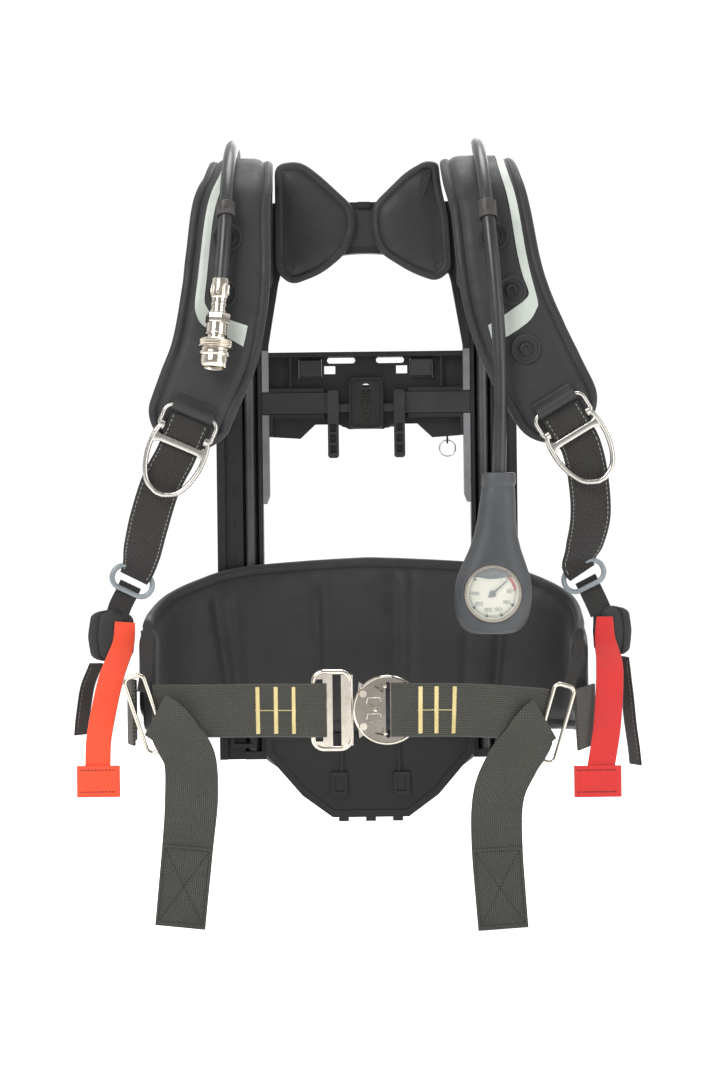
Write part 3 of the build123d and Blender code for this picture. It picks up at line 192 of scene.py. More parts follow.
M = {
    "pad": cloth("pad_cover", rgb(15, 15, 16), rgb(25, 25, 26), rough=0.6, sheen=0.12),
    "piping": moulded("piping", rgb(20, 20, 21), rgb(36, 36, 37), 0.6, 1200, 0.3),
    "thread": moulded("dark_thread", rgb(40, 40, 40), rgb(62, 62, 62), 0.8, 2500, 0.4),
    "thread_light": moulded("grey_thread", rgb(118, 116, 110), rgb(150, 148, 142), 0.8, 2500, 0.4),
    "thread_black": moulded("black_thread", rgb(16, 16, 17), rgb(34, 34, 36), 0.8, 2500, 0.4),
    "tack": moulded("yellow_thread", rgb(176, 158, 104), rgb(216, 200, 148), 0.75, 2500, 0.5),
    "belt": webbing("belt_webbing", rgb(24, 24, 21), rgb(84, 83, 75), 1.9, 2.2, sheen=0.1, deep=0.9),
    "shoulder": webbing("shoulder_webbing", rgb(15, 14, 13), rgb(48, 45, 42), sheen=0.1, deep=0.7),
    "red_left": webbing("orange_webbing", rgb(205, 52, 24), rgb(248, 92, 52), 1.1, 1.2, deep=0.3),
    "red_right": webbing("red_webbing", rgb(160, 22, 22), rgb(222, 50, 44), 1.1, 1.2, deep=0.3),
    "frame": moulded("frame_plastic", rgb(13, 13, 14), rgb(26, 26, 27), 0.42, spec=0.35),
    "guide": moulded("guide_plastic", rgb(74, 75, 77), rgb(116, 117, 119), 0.36, 900, 0.1),
    "tube": moulded("tube_plastic", rgb(40, 41, 42), rgb(70, 71, 72), 0.34, 900, 0.08),
    "rubber": moulded("rubber", rgb(15, 15, 16), rgb(30, 30, 31), 0.6, 900, 0.25),
    "boot": moulded("boot_rubber", rgb(44, 46, 48), rgb(64, 66, 68), 0.5, 1100, 0.2),
    "hose": moulded("hose_rubber", rgb(20, 21, 22), rgb(38, 39, 40), 0.34, 1500, 0.1, coat=0.1),
    "collar": moulded("collar_plastic", rgb(34, 31, 30), rgb(54, 50, 48), 0.42),
    "steel": metal("satin_steel", rgb(150, 147, 140), rgb(190, 187, 181), 0.24),
    "nickel": metal("nickel", rgb(168, 156, 140), rgb(212, 204, 192), 0.13),
    "buckle": metal("buckle_steel", rgb(112, 107, 99), rgb(146, 140, 131), 0.16),
    "ring": moulded("ring_coating", rgb(96, 104, 108), rgb(132, 140, 144), 0.3, 900, 0.06, coat=0.4),
    "black_metal": moulded("black_metal", rgb(16, 16, 17), rgb(34, 34, 36), 0.38, 900, 0.1),
    "dial": moulded("dial_face", rgb(206, 203, 184), rgb(224, 221, 204), 0.5, 600, 0.02),
    "ink": moulded("dial_ink", rgb(14, 14, 15), rgb(26, 26, 27), 0.5, 600, 0.02),
    "red_ink": moulded("dial_red", rgb(186, 36, 36), rgb(206, 58, 52), 0.5, 600, 0.02),
    "reflective": moulded("reflective_tape", rgb(150, 157, 150), rgb(182, 188, 180), 0.42, 1600, 0.12),
}
lens = Shade("lens", Roughness=0.05, Alpha=0.14)
lens.link("Base Color", lens.mix(lens.spots(60), rgb(200, 206, 206), rgb(230, 236, 236)))
M["lens"] = lens.mat


# ================================================================ mesh tools
def new_object(name, data):
    made = bpy.data.objects.new(name, data)
    bpy.context.scene.collection.objects.link(made)
    return made


def evaluated_mesh(made):
    return bpy.data.meshes.new_from_object(made.evaluated_get(bpy.context.evaluated_depsgraph_get()))


def metres(profile):
    """(distance, radius) pairs given in millimetres."""
    return [(h * MM, r * MM) for h, r in profile]


def mesh_object(name, verts, faces, material, body, fab=None, smooth=True):
    mesh = bpy.data.meshes.new(name)
    mesh.from_pydata([tuple(map(float, v)) for v in verts], [], faces)
    mesh.materials.append(M[material])
    for face in mesh.polygons:
        face.use_smooth = smooth
    if fab is not None:
        layer = mesh.attributes.new("fab", "FLOAT_VECTOR", "POINT")
        layer.data.foreach_set("vector", np.asarray(fab, np.float32).ravel())
    mesh.validate()
    shells = bmesh.new()
    shells.from_mesh(mesh)
    bmesh.ops.recalc_face_normals(shells, faces=shells.faces)
    shells.to_mesh(mesh)
    shells.free()
    made = new_object(name, mesh)
    if body:
        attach(made, body)
    return made


def unit(v):
    v = np.asarray(v, float)
    return v / np.maximum(np.linalg.norm(v, axis=-1, keepdims=True), 1e-12)


def curve_through(points, step):
    """Even points along a smooth curve through the given ones, and the place of each in the list."""
    p = np.array(points, float)
    near = np.vstack([2 * p[0] - p[1], p, 2 * p[-1] - p[-2]])
    fine, place = [], []
    for i in range(len(p) - 1):
        a, b, c, d = near[i:i + 4]
        for t in np.linspace(0, 1, 16, endpoint=False):
            fine.append(0.5 * (2 * b + (c - a) * t + (2 * a - 5 * b + 4 * c - d) * t * t
                               + (3 * b - a - 3 * c + d) * t ** 3))
            place.append(i + t)
    fine.append(p[-1])
    place.append(len(p) - 1.0)
    fine = np.array(fine)
    run = np.r_[0, np.cumsum(np.linalg.norm(np.diff(fine, axis=0), axis=1))]
    even = np.linspace(0, run[-1], max(2, int(round(run[-1] / step))) + 1)
    line = np.column_stack([np.interp(even, run, fine[:, k]) for k in range(3)])
    return line, np.interp(even, run, place), even


def grid_faces(n, m, start=0, closed_n=False, closed_m=True):
    faces = []
    for i in range(n if closed_n else n - 1):
        for j in range(m if closed_m else m - 1):
            a, b = start + i * m + j, start + i * m + (j + 1) % m
            c, d = start + ((i + 1) % n) * m + (j + 1) % m, start + ((i + 1) % n) * m + j
            faces.append((a, b, c, d))
    return faces


class Build:
    """Vertices and faces of one object, gathered from several shapes."""

    def __init__(self):
        self.verts, self.faces, self.fab = [], [], []

    def loft(self, rings, fab=None, closed=False, caps=True):
        rings = np.asarray(rings, float)
        n, m = rings.shape[:2]
        start = len(self.verts)
        self.verts += list(rings.reshape(-1, 3))
        self.fab += list((np.zeros((n * m, 3)) if fab is None else np.asarray(fab).reshape(-1, 3)))
        self.faces += grid_faces(n, m, start, closed)
        if caps and not closed:
            self.faces.append(tuple(range(start + m - 1, start - 1, -1)))
            self.faces.append(tuple(range(start + (n - 1) * m, start + n * m)))
        return self

    def tube(self, line, radius, sides=10, closed=False, flat=1.0, up=None):
        """A round wire along points; radius may be one for each point."""
        line = np.asarray(line, float)
        n = len(line)
        radius = np.broadcast_to(radius, n)
        if closed:
            along = unit(np.roll(line, -1, 0) - np.roll(line, 1, 0))
        else:
            along = unit(np.gradient(line, axis=0))
        side = np.array(up if up is not None else (0.31, 0.52, 0.79), float)
        rings = []
        for i in range(n):
            side = unit(side - along[i] * side.dot(along[i]))
            other = np.cross(along[i], side)
            turn = np.linspace(0, 2 * math.pi, sides, endpoint=False)
            circle = np.outer(np.cos(turn), side) + flat * np.outer(np.sin(turn), other)
            rings.append(line[i] + radius[i] * circle)
        return self.loft(rings, closed=closed)

    def turned(self, origin, axis, profile, sides=48, ripple=0.0, waves=0):
        """Turned around an axis from (distance along it, radius) pairs."""
        axis = unit(axis)
        side = unit(np.cross(axis, (0.13, 0.4, 0.91)))
        other = np.cross(axis, side)
        turn = np.linspace(0, 2 * math.pi, sides, endpoint=False)
        ring_shaped = abs(profile[0][0] - profile[-1][0]) < 1e-9 and profile[0][1] > 1e-3
        if ring_shaped and tuple(profile[0]) == tuple(profile[-1]):
            profile = profile[:-1]
        rings = []
        for h, r in profile:
            swell = r * (1 + ripple * np.cos(turn * waves)) if waves else np.full(sides, r)
            rings.append(np.array(origin) + h * axis + swell[:, None] * (np.outer(np.cos(turn), side)
                                                                        + np.outer(np.sin(turn), other)))
        return self.loft(rings, closed=ring_shaped)

    def plate(self, outline, origin, u, v, depth, rounding=0.0004):
        """A flat plate with softened edges: outline in (u, v), extruded along their normal."""
        outline = np.asarray(outline, float)
        u, v = unit(u), unit(v)
        w = np.cross(u, v)
        inner = inset(outline, rounding)
        rings = []
        for shape, lift in ((inner, 0), (outline, rounding), (outline, depth - rounding), (inner, depth)):
            rings.append(np.array(origin) + shape[:, :1] * u + shape[:, 1:] * v + lift * w)
        return self.loft(rings)

    def make(self, name, material, body, smooth=True):
        made = mesh_object(name, self.verts, self.faces, material, body, self.fab, smooth)
        soft_edges(made)
        return made


def inset(outline, by):
    """The outline moved inwards by a distance (anticlockwise outlines)."""
    before, after = np.roll(outline, 1, 0), np.roll(outline, -1, 0)
    a, b = unit(outline - before), unit(after - outline)
    normal = unit(np.column_stack([-(a + b)[:, 1], (a + b)[:, 0]]))
    area = 0.5 * np.sum(outline[:, 0] * after[:, 1] - after[:, 0] * outline[:, 1])
    stretch = 1 / np.maximum(0.5, np.einsum("ij,ij->i", normal, np.column_stack([-a[:, 1], a[:, 0]])))
    return outline + math.copysign(by, area) * normal * stretch[:, None]


def soft_edges(made, angle=38):
    """Shades smooth but keeps creases sharper than the angle."""
    mesh = made.data
    mesh.set_sharp_from_angle(angle=math.radians(angle))


def rounded(points, radii, steps=6):
    """A closed 2-D outline with each corner rounded."""
    points = np.array(points, float)
    radii = np.broadcast_to(radii, len(points))
    out = []
    for i, corner in enumerate(points):
        a, b = points[i - 1] - corner, points[(i + 1) % len(points)] - corner
        la, lb = np.linalg.norm(a), np.linalg.norm(b)
        reach = min(radii[i], 0.45 * la, 0.45 * lb)
        p, q = corner + a / la * reach, corner + b / lb * reach
        for t in np.linspace(0, 1, steps):
            out.append((1 - t) ** 2 * p + 2 * t * (1 - t) * corner + t * t * q)
    return np.array(out)


class Band:
    """A strap or pad along a smooth path. Sizes are given in millimetres."""

    def __init__(self, points, widths, across, thick, step=4.0, wave=0.0, seed=0.0, rounds=(0.0, 0.0)):
        self.line, place, self.run = curve_through(points, step)
        count = np.arange(len(points))
        widths = np.broadcast_to(np.asarray(widths, float), len(points))
        self.half = np.interp(place, count, widths) / 2
        lies = np.array(across, float)
        if lies.ndim == 1:
            lies = np.tile(lies, (len(points), 1))
        lies = np.column_stack([np.interp(place, count, lies[:, k]) for k in range(3)])
        self.along = unit(np.gradient(self.line, axis=0))
        self.across = unit(lies - self.along * np.einsum("ij,ij->i", lies, self.along)[:, None])
        self.out = np.cross(self.along, self.across)
        if wave:
            ripple = (np.sin(self.run / 17.0 + seed) + 0.6 * np.sin(self.run / 7.3 + 2.1 * seed)) * wave
            calm = np.minimum(1, np.minimum(self.run, self.run[-1] - self.run) / 15)
            self.line = self.line + self.out * (ripple * calm)[:, None]
        self.thick = thick / 2
        self.scale = np.ones(len(self.line))
        for reach, distance in ((rounds[0], self.run), (rounds[1], self.run[-1] - self.run)):
            if reach:
                near = np.clip(1 - distance / reach, 0, 0.985)
                self.scale = np.minimum(self.scale, np.sqrt(1 - near ** 2))
        self.half = self.half * self.scale

    def rings(self, profile):
        """profile gives (side, height) pairs for a half width and a half thickness."""
        rings, fab = [], []
        for i in range(len(self.line)):
            shape = profile(self.half[i], self.thick * (0.35 + 0.65 * self.scale[i]) if self.scale[i] < 1
                            else self.thick)
            rings.append(self.line[i] + shape[:, :1] * self.across[i] + shape[:, 1:] * self.out[i])
            fab.append(np.column_stack([np.full(len(shape), self.run[i]), shape[:, 0], shape[:, 1]]))
        return np.array(rings) * MM, np.array(fab) * MM

    def frame_at(self, run):
        return [np.array([np.interp(run, self.run, part[:, k]) for k in range(3)])
                for part in (self.line, self.along, self.across, self.out)]

    def spot(self, run, side, lift):
        """A point on the band, in metres: side from its middle and lift from its middle surface."""
        centre, along, across, out = self.frame_at(run)
        return (centre + across * side + out * lift) * MM

    def half_at(self, run):
        return float(np.interp(run, self.run, self.half))

    def drop(self, x, z, first=0.0):
        """(run, side) of the point of the band's front that is seen at x, z."""
        flat = self.line[:, [0, 2]]
        gap = np.array([x, z]) - flat
        ahead = np.einsum("ij,ij->i", gap, unit(self.along[:, [0, 2]]))
        ok = np.where(self.run >= first)[0]
        best = ok[np.argmin(np.abs(ahead[ok]) + 0.05 * np.linalg.norm(gap[ok], axis=1))]
        across = self.across[best, [0, 2]]
        side = float(np.dot(gap[best], across) / max(0.3, np.linalg.norm(across)))
        return float(self.run[best] + ahead[best]), side


def flat_profile(w, t):
    """Strap section: flat faces and softly rounded edges."""
    half = [(-w, 0), (-w + 0.12 * t, 0.62 * t), (-w + 0.5 * t, 0.96 * t), (-w * 0.8, t), (-w * 0.45, t),
            (0, t),
            (w * 0.45, t), (w * 0.8, t), (w - 0.5 * t, 0.96 * t), (w - 0.12 * t, 0.62 * t), (w, 0)]
    return np.array(half + [(s, -h) for s, h in reversed(half[1:-1])])


def pad_profile(w, t):
    """Pad section: a bound edge, a sewn groove inside it and a crowned middle."""
    k = min(1.0, w / 22)
    marks = [(0, 0), (0.5, 1.9), (2.2, 3.4), (5, 3.9), (7.4, 3.6), (8.7, 2.6), (10.2, 3.5), (13, 0.8 * t),
             (18, 0.95 * t)]
    side = [(-w + a * k, min(h, t) * (0.4 + 0.6 * k)) for a, h in marks]
    side = [p for p in side if p[0] < -1]
    front = side + [(0, t)] + [(-s, h) for s, h in reversed(side)]
    back = [(s, -h * 0.92) for s, h in reversed(front[1:-1])]
    return np.array(front + back)


def pad_height(w, side, t):
    shape = pad_profile(w, t)
    half = len(shape) // 2 + 1
    return float(np.interp(side, shape[:half, 0], shape[:half, 1]))


def even_count(profile):
    """Keeps the same number of points in each ring, whatever the width."""
    def inner(w, t):
        shape = profile(max(w, 21.0), t)
        if w < 21.0:
            shape = shape * np.array([w / 21.0, 1.0])
        return shape
    return inner


PAD = even_count(pad_profile)


def band_object(name, band, profile, material, body):
    rings, fab = band.rings(profile)
    return Build().loft(rings, fab).make(name, material, body)


class Thread:
    """Stitches of one colour, gathered into one object."""

    def __init__(self):
        self.build = Build()

    def stitch(self, a, b, radius=0.00042):
        a, b = np.asarray(a, float), np.asarray(b, float)
        line = np.array([a + (b - a) * t for t in (0, 0.14, 0.5, 0.86, 1)])
        self.build.tube(line, np.array([0.3, 0.85, 1, 0.85, 0.3]) * radius, sides=6)

    def row(self, band, side, start, end, lift, pitch=3.6, fill=0.68, radius=0.00042):
        """Stitches along a band. side and lift may be functions of the run."""
        spots = np.arange(start, end - pitch * fill, pitch)
        for run in spots:
            ends = []
            for r in (run, run + pitch * fill):
                s = side(r) if callable(side) else side
                h = lift(r) if callable(lift) else lift
                ends.append(band.spot(r, s, h))
            self.stitch(*ends, radius)

    def edges(self, band, inside, lifts, start, end, **more):
        """Rows along both edges of a band; start and end are kept clear at its two ends."""
        for sign in (-1, 1):
            for lift in lifts:
                self.row(band, lambda r, s=sign: s * (band.half_at(r) - inside), start, band.run[-1] - end,
                         lift,
                         **more)

    def path(self, points, pitch=3.6, fill=0.68, radius=0.00042, closed=False):
        """Stitches along points given in metres."""
        p = np.asarray(points, float)
        if closed:
            p = np.vstack([p, p[:1]])
        run = np.r_[0, np.cumsum(np.linalg.norm(np.diff(p, axis=0), axis=1))]
        def at(r):
            return np.array([np.interp(r, run, p[:, k]) for k in range(3)])
        for r in np.arange(0, run[-1] - pitch * MM * fill, pitch * MM):
            self.stitch(at(r), at(r + pitch * MM * fill), radius)

    def make(self, name, material, body):
        return self.build.make(name, material, body)


def paint(material, *nodes):
    """Gives carried-over CAD nodes their material."""
    for name in nodes:
        node = frame["nodes"][name]
        node.data.materials.clear()
        node.data.materials.append(M[material])


# ================================================================ camera, light and floor
def look():
    scene = bpy.context.scene
    camera = new_object("camera", bpy.data.cameras.new("camera"))
    camera.matrix_world = (Matrix.Translation((-0.0072, -3.0, 0.280))
                           @ Matrix.Rotation(math.radians(90), 4, "X")
                           @ Matrix.Rotation(-0.0119, 4, "Z"))
    camera.data.lens = 100.0
    camera.data.sensor_width = 36.0
    camera.data.clip_end = 50
    scene.camera = camera
    world = bpy.data.worlds.new("studio")
    scene.world = world
    world.use_nodes = True
    # the studio is darker in front of the object, which gives gloss and metal something to mirror
    nodes, links = world.node_tree.nodes, world.node_tree.links
    where = nodes.new("ShaderNodeTexCoord").outputs["Generated"]
    parts = nodes.new("ShaderNodeSeparateXYZ")
    shade = nodes.new("ShaderNodeMapRange")
    shade.interpolation_type = "SMOOTHSTEP"
    for socket, value in ((1, -0.55), (2, 0.45), (3, 0.42), (4, 1.08)):
        shade.inputs[socket].default_value = value
    links.new(where, parts.inputs[0])
    links.new(parts.outputs[1], shade.inputs[0])
    links.new(shade.outputs[0], nodes["Background"].inputs[1])
    nodes["Background"].inputs[0].default_value = (1, 1, 1, 1)
    scene.view_settings.view_transform = "Standard"
    for name, place, aim, size, power in (
            ("key", (-1.3, -2.0, 1.9), (0, 0, 0.3), 1.3, 52),
                                          ("fill", (1.8, -1.7, 0.8), (0, 0, 0.3), 1.5, 20),
            ("top", (0.2, 0.3, 2.4), (0, 0, 0.3), 1.2, 34), ("back", (0.6, 2.3, 1.4), (0, 0, 0.3), 1.6, 24)):
        light = bpy.data.lights.new(name, "AREA")
        light.size, light.energy = size, power
        lamp = new_object(name, light)
        lamp.location = place
        lamp.rotation_mode = "QUATERNION"
        lamp.rotation_quaternion = (Vector(aim) - Vector(place)).to_track_quat("-Z", "Y")
    corners = [(x, y, FLOOR_Z) for x, y in ((-9, -9), (9, -9), (9, 9), (-9, 9))]
    floor = mesh_object("floor", corners, [(0, 1, 2, 3)], "dial", None)
    pale = Shade("floor_white", Roughness=0.9, Emission_Color=(1, 1, 1, 1), Emission_Strength=0.4)
    pale.link("Base Color", pale.mix(pale.spots(1.5), (0.93, 0.93, 0.93, 1), (0.95, 0.95, 0.95, 1)))
    floor.data.materials[0] = pale.mat


look()


# ================================================================ hoses
def hose(name, route, body):
    """A hose on one NURBS line with the route's points as its control points."""
    data = bpy.data.curves.new(name, "CURVE")
    data.dimensions = "3D"
    data.bevel_depth = 6.5 * MM
    data.bevel_resolution = 6
    data.resolution_u = 14
    data.use_fill_caps = True
    spline = data.splines.new("NURBS")
    spline.points.add(len(route) - 1)
    for spot, place in zip(spline.points, route):
        spot.co = [c * MM for c in place] + [1]
    spline.order_u = 3
    spline.use_endpoint_u = True
    data.materials.append(M["hose"])
    made = new_object(name, data)
    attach(made, body)
    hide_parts(name)
    made.name = name + "_tube"
    return made


LOWER = [(46, 20, 48), (70, 22, 49), (96, 35, 58), (119, 42.5, 82), (132, 35, 112), (133.75, 20, 142),
         (133.75, 11, 172)]
LEFT = [(-133.75, 11, 424), (-133.9, 10.7, 486), (-133.7, 11, 547), (-132, 16, 600), (-129.5, 12, 641),
        (-127.8, -14, 665), (-127.5, -52, 670), (-129, -100, 654), (-131, -140, 617), (-131.8, -158, 573),
        (-136.1, -165, 526)]
RIGHT = [(133.75, 11, 424), (133.9, 10.7, 486), (133.7, 11, 552), (130, 16, 600), (122, 12, 641),
         (115, -14, 665),
         (112, -52, 671), (112, -102, 656), (115, -143, 617), (119, -161, 567), (123.5, -170, 512),
         (126.4, -173, 453), (126.3, -174, 394), (124.2, -171, 333)]


# ================================================================ coupling, collars and gauge
def coupling():
    origin = np.array(LEFT[-1], float)
    axis = unit(origin - np.array(LEFT[-2], float))
    start = origin * MM
    body = Build()

    def part(profile, sides=48):
        body.turned(start, axis, metres(profile), sides)

    part([(-2, 6.6), (-2, 7.9), (-1, 8.4), (15.5, 8.4), (16.4, 8.0), (17, 7.4), (20.5, 7.2), (21.5, 6.2),
          (26, 6.2)])
    part([(21, 6.0), (21.4, 7.4), (24.2, 7.4), (24.7, 6.7), (27.6, 6.7), (28.1, 7.4), (31, 7.4)])
    part([(30.6, 7), (31, 11.0), (31.8, 11.7), (40.2, 11.7), (41, 11.0), (41.3, 9)], sides=6)
    part([(41, 9.2), (41.6, 10), (50.5, 10), (51.2, 10.6), (52.6, 10.6), (53, 8.5), (81.4, 8.5), (82, 8),
          (82, 6.3),
          (70, 6.1), (69.5, 3), (60, 2.9), (60, 0.5)])
    # long windows pressed into the ferrule
    side = unit(np.cross(axis, (0.13, 0.4, 0.91)))
    other = np.cross(axis, side)
    for k in range(8):
        angle = 2 * math.pi * k / 8
        radial = math.cos(angle) * side + math.sin(angle) * other
        around = np.cross(axis, radial)
        loop = rounded([(-1.6, 3.5), (1.6, 3.5), (1.6, 13.5), (-1.6, 13.5)], 1.5)
        line = [start + (axis * v + around * u + radial * 8.35) * MM for u, v in loop]
        body.tube(line, 0.35 * MM, sides=6, closed=True)
    made = body.make("coupling", "nickel", "carriage")
    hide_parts("coupling_body")
    ring = Build()
    knurl = [(57, 13.4), (57.2, 15.6), (58, 16.3), (58.6, 15.7), (59.4, 16.5), (60.2, 15.8), (61, 16.6),
             (61.8, 15.8),
             (62.6, 16.6), (63.4, 15.8), (64.2, 16.4), (65, 16.2), (65.6, 15.2), (66, 13.2), (68, 12.9),
             (69, 14.2),
             (71, 14.6), (72.2, 14.1), (73, 13), (76, 12.9), (77, 13.2), (82.4, 12.2), (83.6, 11.4),
             (84, 10.6),
             (84, 9.3), (82, 8.75), (60, 8.65), (57, 8.8)]
    ring.turned(start, axis, metres(knurl), 96)
    sleeve = ring.make("coupling_ring", "nickel", "coupling_sleeve")
    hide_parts("coupling_sleeve")
    return made, sleeve


def collar(name, route, length):
    """Clip collar round a hose, with a small pin hole in front."""
    body = Build()
    a, b = np.array(route[8], float), np.array(route[9], float)
    middle, axis = (a + b) / 2, unit(b - a)
    body.turned((middle - axis * length / 2) * MM, axis,
                metres([(0, 7.1), (0, 8.5), (0.6, 9.1), (2.2, 9.1), (2.8, 8.9), (length - 2.8, 8.9),
                        (length - 2.2, 9.1), (length - 0.6, 9.1), (length, 8.5), (length, 7.1), (0, 7.1)]),
                40)
    front = np.array((0, -1.0, 0))
    front = unit(front - axis * front.dot(axis))
    body.turned((middle + front * 8.5) * MM, front,
                metres([(0, 0.1), (0, 1.9), (0.75, 1.8), (0.75, 1.1), (0.1, 1.0)]), 16)
    made = body.make(name, "collar", "carriage")
    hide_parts("hose_collars")
    return made


GAUGE = np.array((116.5, -175.0, 228.0))
DIAL_Y = -177.3


def gauge_boot():
    """Rubber boot: a ringed neck that widens to the gauge, with a round window."""
    rows = [(342, 13.2, 13.2, 124.4, -171), (341.2, 15.2, 15.2, 124.4, -171), (338, 15.9, 15.9, 124.2, -171),
            (331.5, 16, 16, 123.8, -171), (330, 15.1, 15.1, 123.7, -171), (328, 14.8, 14.8, 123.5, -171.3),
            (326, 15.6, 15.2, 123.3, -171.5), (312, 17.2, 15.4, 122.3, -172),
            (298, 18.2, 15.8, 121.3, -172.8),
            (284, 20.4, 16.2, 120.2, -173.6), (270, 24.4, 16.8, 119.3, -174.3),
            (257, 29.6, 17.6, 118.4, -174.8),
            (246, 33.8, 18.3, 117.7, -175), (236, 36.1, 18.7, 117.2, -175), (226, 36.9, 18.9, 116.6, -175),
            (215, 36.4, 18.7, 116.2, -175), (206, 34.4, 18.2, 116, -175), (199, 31, 17, 116, -175),
            (194, 26.4, 15, 116, -175), (191, 20, 11.6, 116, -175), (190, 12, 7, 116, -175)]
    place = np.array(rows, float)
    heights = np.linspace(0, len(rows) - 1, 74)
    place = np.column_stack([np.interp(heights, np.arange(len(rows)), place[:, k]) for k in range(5)])
    turn = np.linspace(0, 2 * math.pi, 72, endpoint=False)
    power = 2 / 2.7
    rings = []
    for z, half_x, half_y, cx, cy in place:
        c, s = np.cos(turn), np.sin(turn)
        x = cx + half_x * np.sign(c) * np.abs(c) ** power
        y = cy + half_y * np.sign(s) * np.abs(s) ** (2 / 2.3)
        ring = np.column_stack([x, y, np.full(len(turn), z)])
        # the front sinks to a flat rim round the window
        gap = np.hypot(ring[:, 0] - GAUGE[0], ring[:, 2] - GAUGE[2])
        front = ring[:, 1] < cy
        rim = np.clip((31.5 - gap) / 3.2, 0, 1)
        sunk = ring[:, 1] * (1 - rim) + rim * np.maximum(ring[:, 1], -191.6)
        ring[:, 1] = np.where(front, sunk, ring[:, 1])
        rings.append(ring * MM)
    made = Build().loft(rings).make("boot", "boot", "carriage")
    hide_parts("gauge_boot")
    # the window is cut by a round bore
    cutter = Build().turned(np.array((GAUGE[0], -160.2, GAUGE[2])) * MM, (0, -1, 0),
                            metres([(0, 0.1), (0, 26.9), (26, 26.9), (50, 29.5), (50, 0.1)]), 96)
    cutter = cutter.make("window_cutter", "boot", None)
    cut = made.modifiers.new("window", "BOOLEAN")
    cut.object, cut.operation, cut.solver = cutter, "DIFFERENCE", "EXACT"
    shaped = evaluated_mesh(made)
    made.modifiers.clear()
    made.data = shaped
    bpy.data.objects.remove(cutter)
    soft_edges(made, 40)
    rim = Build().turned(np.array((GAUGE[0], -186.5, GAUGE[2])) * MM, (0, -1, 0),
                         metres([(-2.5, 26.85), (0.5, 26.85), (1.6, 27.2), (2.4, 27.9), (2.9, 28.9),
                                 (2.6, 30),
                                 (1.4, 30.8), (-2.5, 30.8), (-2.5, 26.85)]), 96)
    lip = rim.make("boot_lip", "boot", "carriage")
    return made, lip


def dial_point(angle, radius, y=DIAL_Y):
    a = math.radians(angle)
    return np.array((GAUGE[0] + radius * math.cos(a), y, GAUGE[2] + radius * math.sin(a)))


def dial_angle(value):
    return 46 - 0.76 * value


def flat_mark(build, points, y=DIAL_Y, depth=0.18):
    """A thin printed shape on the dial from its corners in mm."""
    points = np.array([(p[0], p[2]) for p in points], float) * MM
    build.plate(points, (0, y * MM, 0), X, Z, depth * MM, 0.02 * MM)


def dial_marks():
    ink, red = Build(), Build()
    for value in range(0, 351, 5):
        big = value % 50 == 0
        inner, half = (18.9 if big else 20.4), (0.32 if big else 0.22)
        angle = dial_angle(value)
        swing = math.degrees(half / 21)
        flat_mark(ink, [dial_point(angle - swing, inner), dial_point(angle - swing, 22.6),
                        dial_point(angle + swing, 22.6), dial_point(angle + swing, inner)])
    for value in (100, 150, 200, 250, 350):
        angle = dial_angle(value)
        flat_mark(ink, [dial_point(angle, 19.2), dial_point(angle - 4.4, 23), dial_point(angle + 4.4, 23)])
    arc = [dial_point(dial_angle(v), 23.2) for v in range(0, 51, 5)]
    arc += [dial_point(dial_angle(v), 20.2) for v in range(50, -1, -5)]
    flat_mark(red, arc, depth=0.12)
    # dark mask over the top of the dial
    mask = [dial_point(a, 24) for a in np.linspace(41, 139, 25)]
    mask += [np.array((GAUGE[0] + x, DIAL_Y, GAUGE[2] + 15.4 - 1.6 * math.cos(x / 12 * math.pi / 2)))
             for x in np.linspace(-18.1, 18.1, 15)]
    flat_mark(ink, mask, DIAL_Y - 0.3, 0.3)
    marks = ink.make("dial_marks", "ink", "carriage")
    zone = red.make("dial_red_zone", "red_ink", "carriage")
    numbers = []
    for value in range(50, 301, 50):
        text = bpy.data.curves.new("number", "FONT")
        text.body = str(value)
        text.size = 5.0 * MM
        text.align_x, text.align_y = "CENTER", "CENTER"
        text.extrude = 0.08 * MM
        holder = new_object("number", text)
        spot = dial_point(dial_angle(value), 15.6, DIAL_Y - 0.1) * MM
        holder.matrix_world = (Matrix.Translation(spot) @ Matrix.Rotation(math.pi, 4, "Y")
                               @ Matrix.Rotation(math.radians(90), 4, "X"))
        bpy.context.view_layer.update()
        mesh = evaluated_mesh(holder)
        mesh.transform(holder.matrix_world)
        numbers.append(mesh)
        bpy.data.objects.remove(holder)
    verts, faces = [], []
    for mesh in numbers:
        start = len(verts)
        verts += [tuple(v.co) for v in mesh.vertices]
        faces += [tuple(start + i for i in face.vertices) for face in mesh.polygons]
    digits = mesh_object("dial_numbers", verts, faces, "ink", "carriage", smooth=False)
    return [marks, zone, digits]


def pointer():
    needle = Build()
    tip = dial_point(dial_angle(6), 18.4)
    base = dial_point(dial_angle(6) + 180, 5.0)
    along = unit(tip - base)
    side = np.array((along[2], 0, -along[0]))
    waist = GAUGE + along * 6
    outline = [base + side * 1.1, base - side * 1.1, waist - side * 0.8, tip - side * 0.35, tip + side * 0.35,
               waist + side * 0.8]
    flat = np.array([(p[0], p[2]) for p in outline]) * MM
    needle.plate(flat, (0, -178.6 * MM, 0), X, Z, 0.6 * MM, 0.1 * MM)
    needle.turned(np.array((GAUGE[0], -177.4, GAUGE[2])) * MM, (0, -1, 0),
                  metres([(0, 0.2), (0, 3.2), (1.6, 3.2), (2.1, 2.8), (2.3, 0.3)]), 32)
    made = needle.make("pointer", "ink", "gauge_pointer")
    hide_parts("gauge_pointer")
    return made


coupling_piece, sleeve_piece = coupling()
left_collar, right_collar = collar("left_collar", LEFT, 14), collar("right_collar", RIGHT, 17)
boot, lip = gauge_boot()
marks = dial_marks()
needle = pointer()
paint("nickel", "gauge_case")
paint("dial", "gauge_dial")
paint("lens", "gauge_lens")

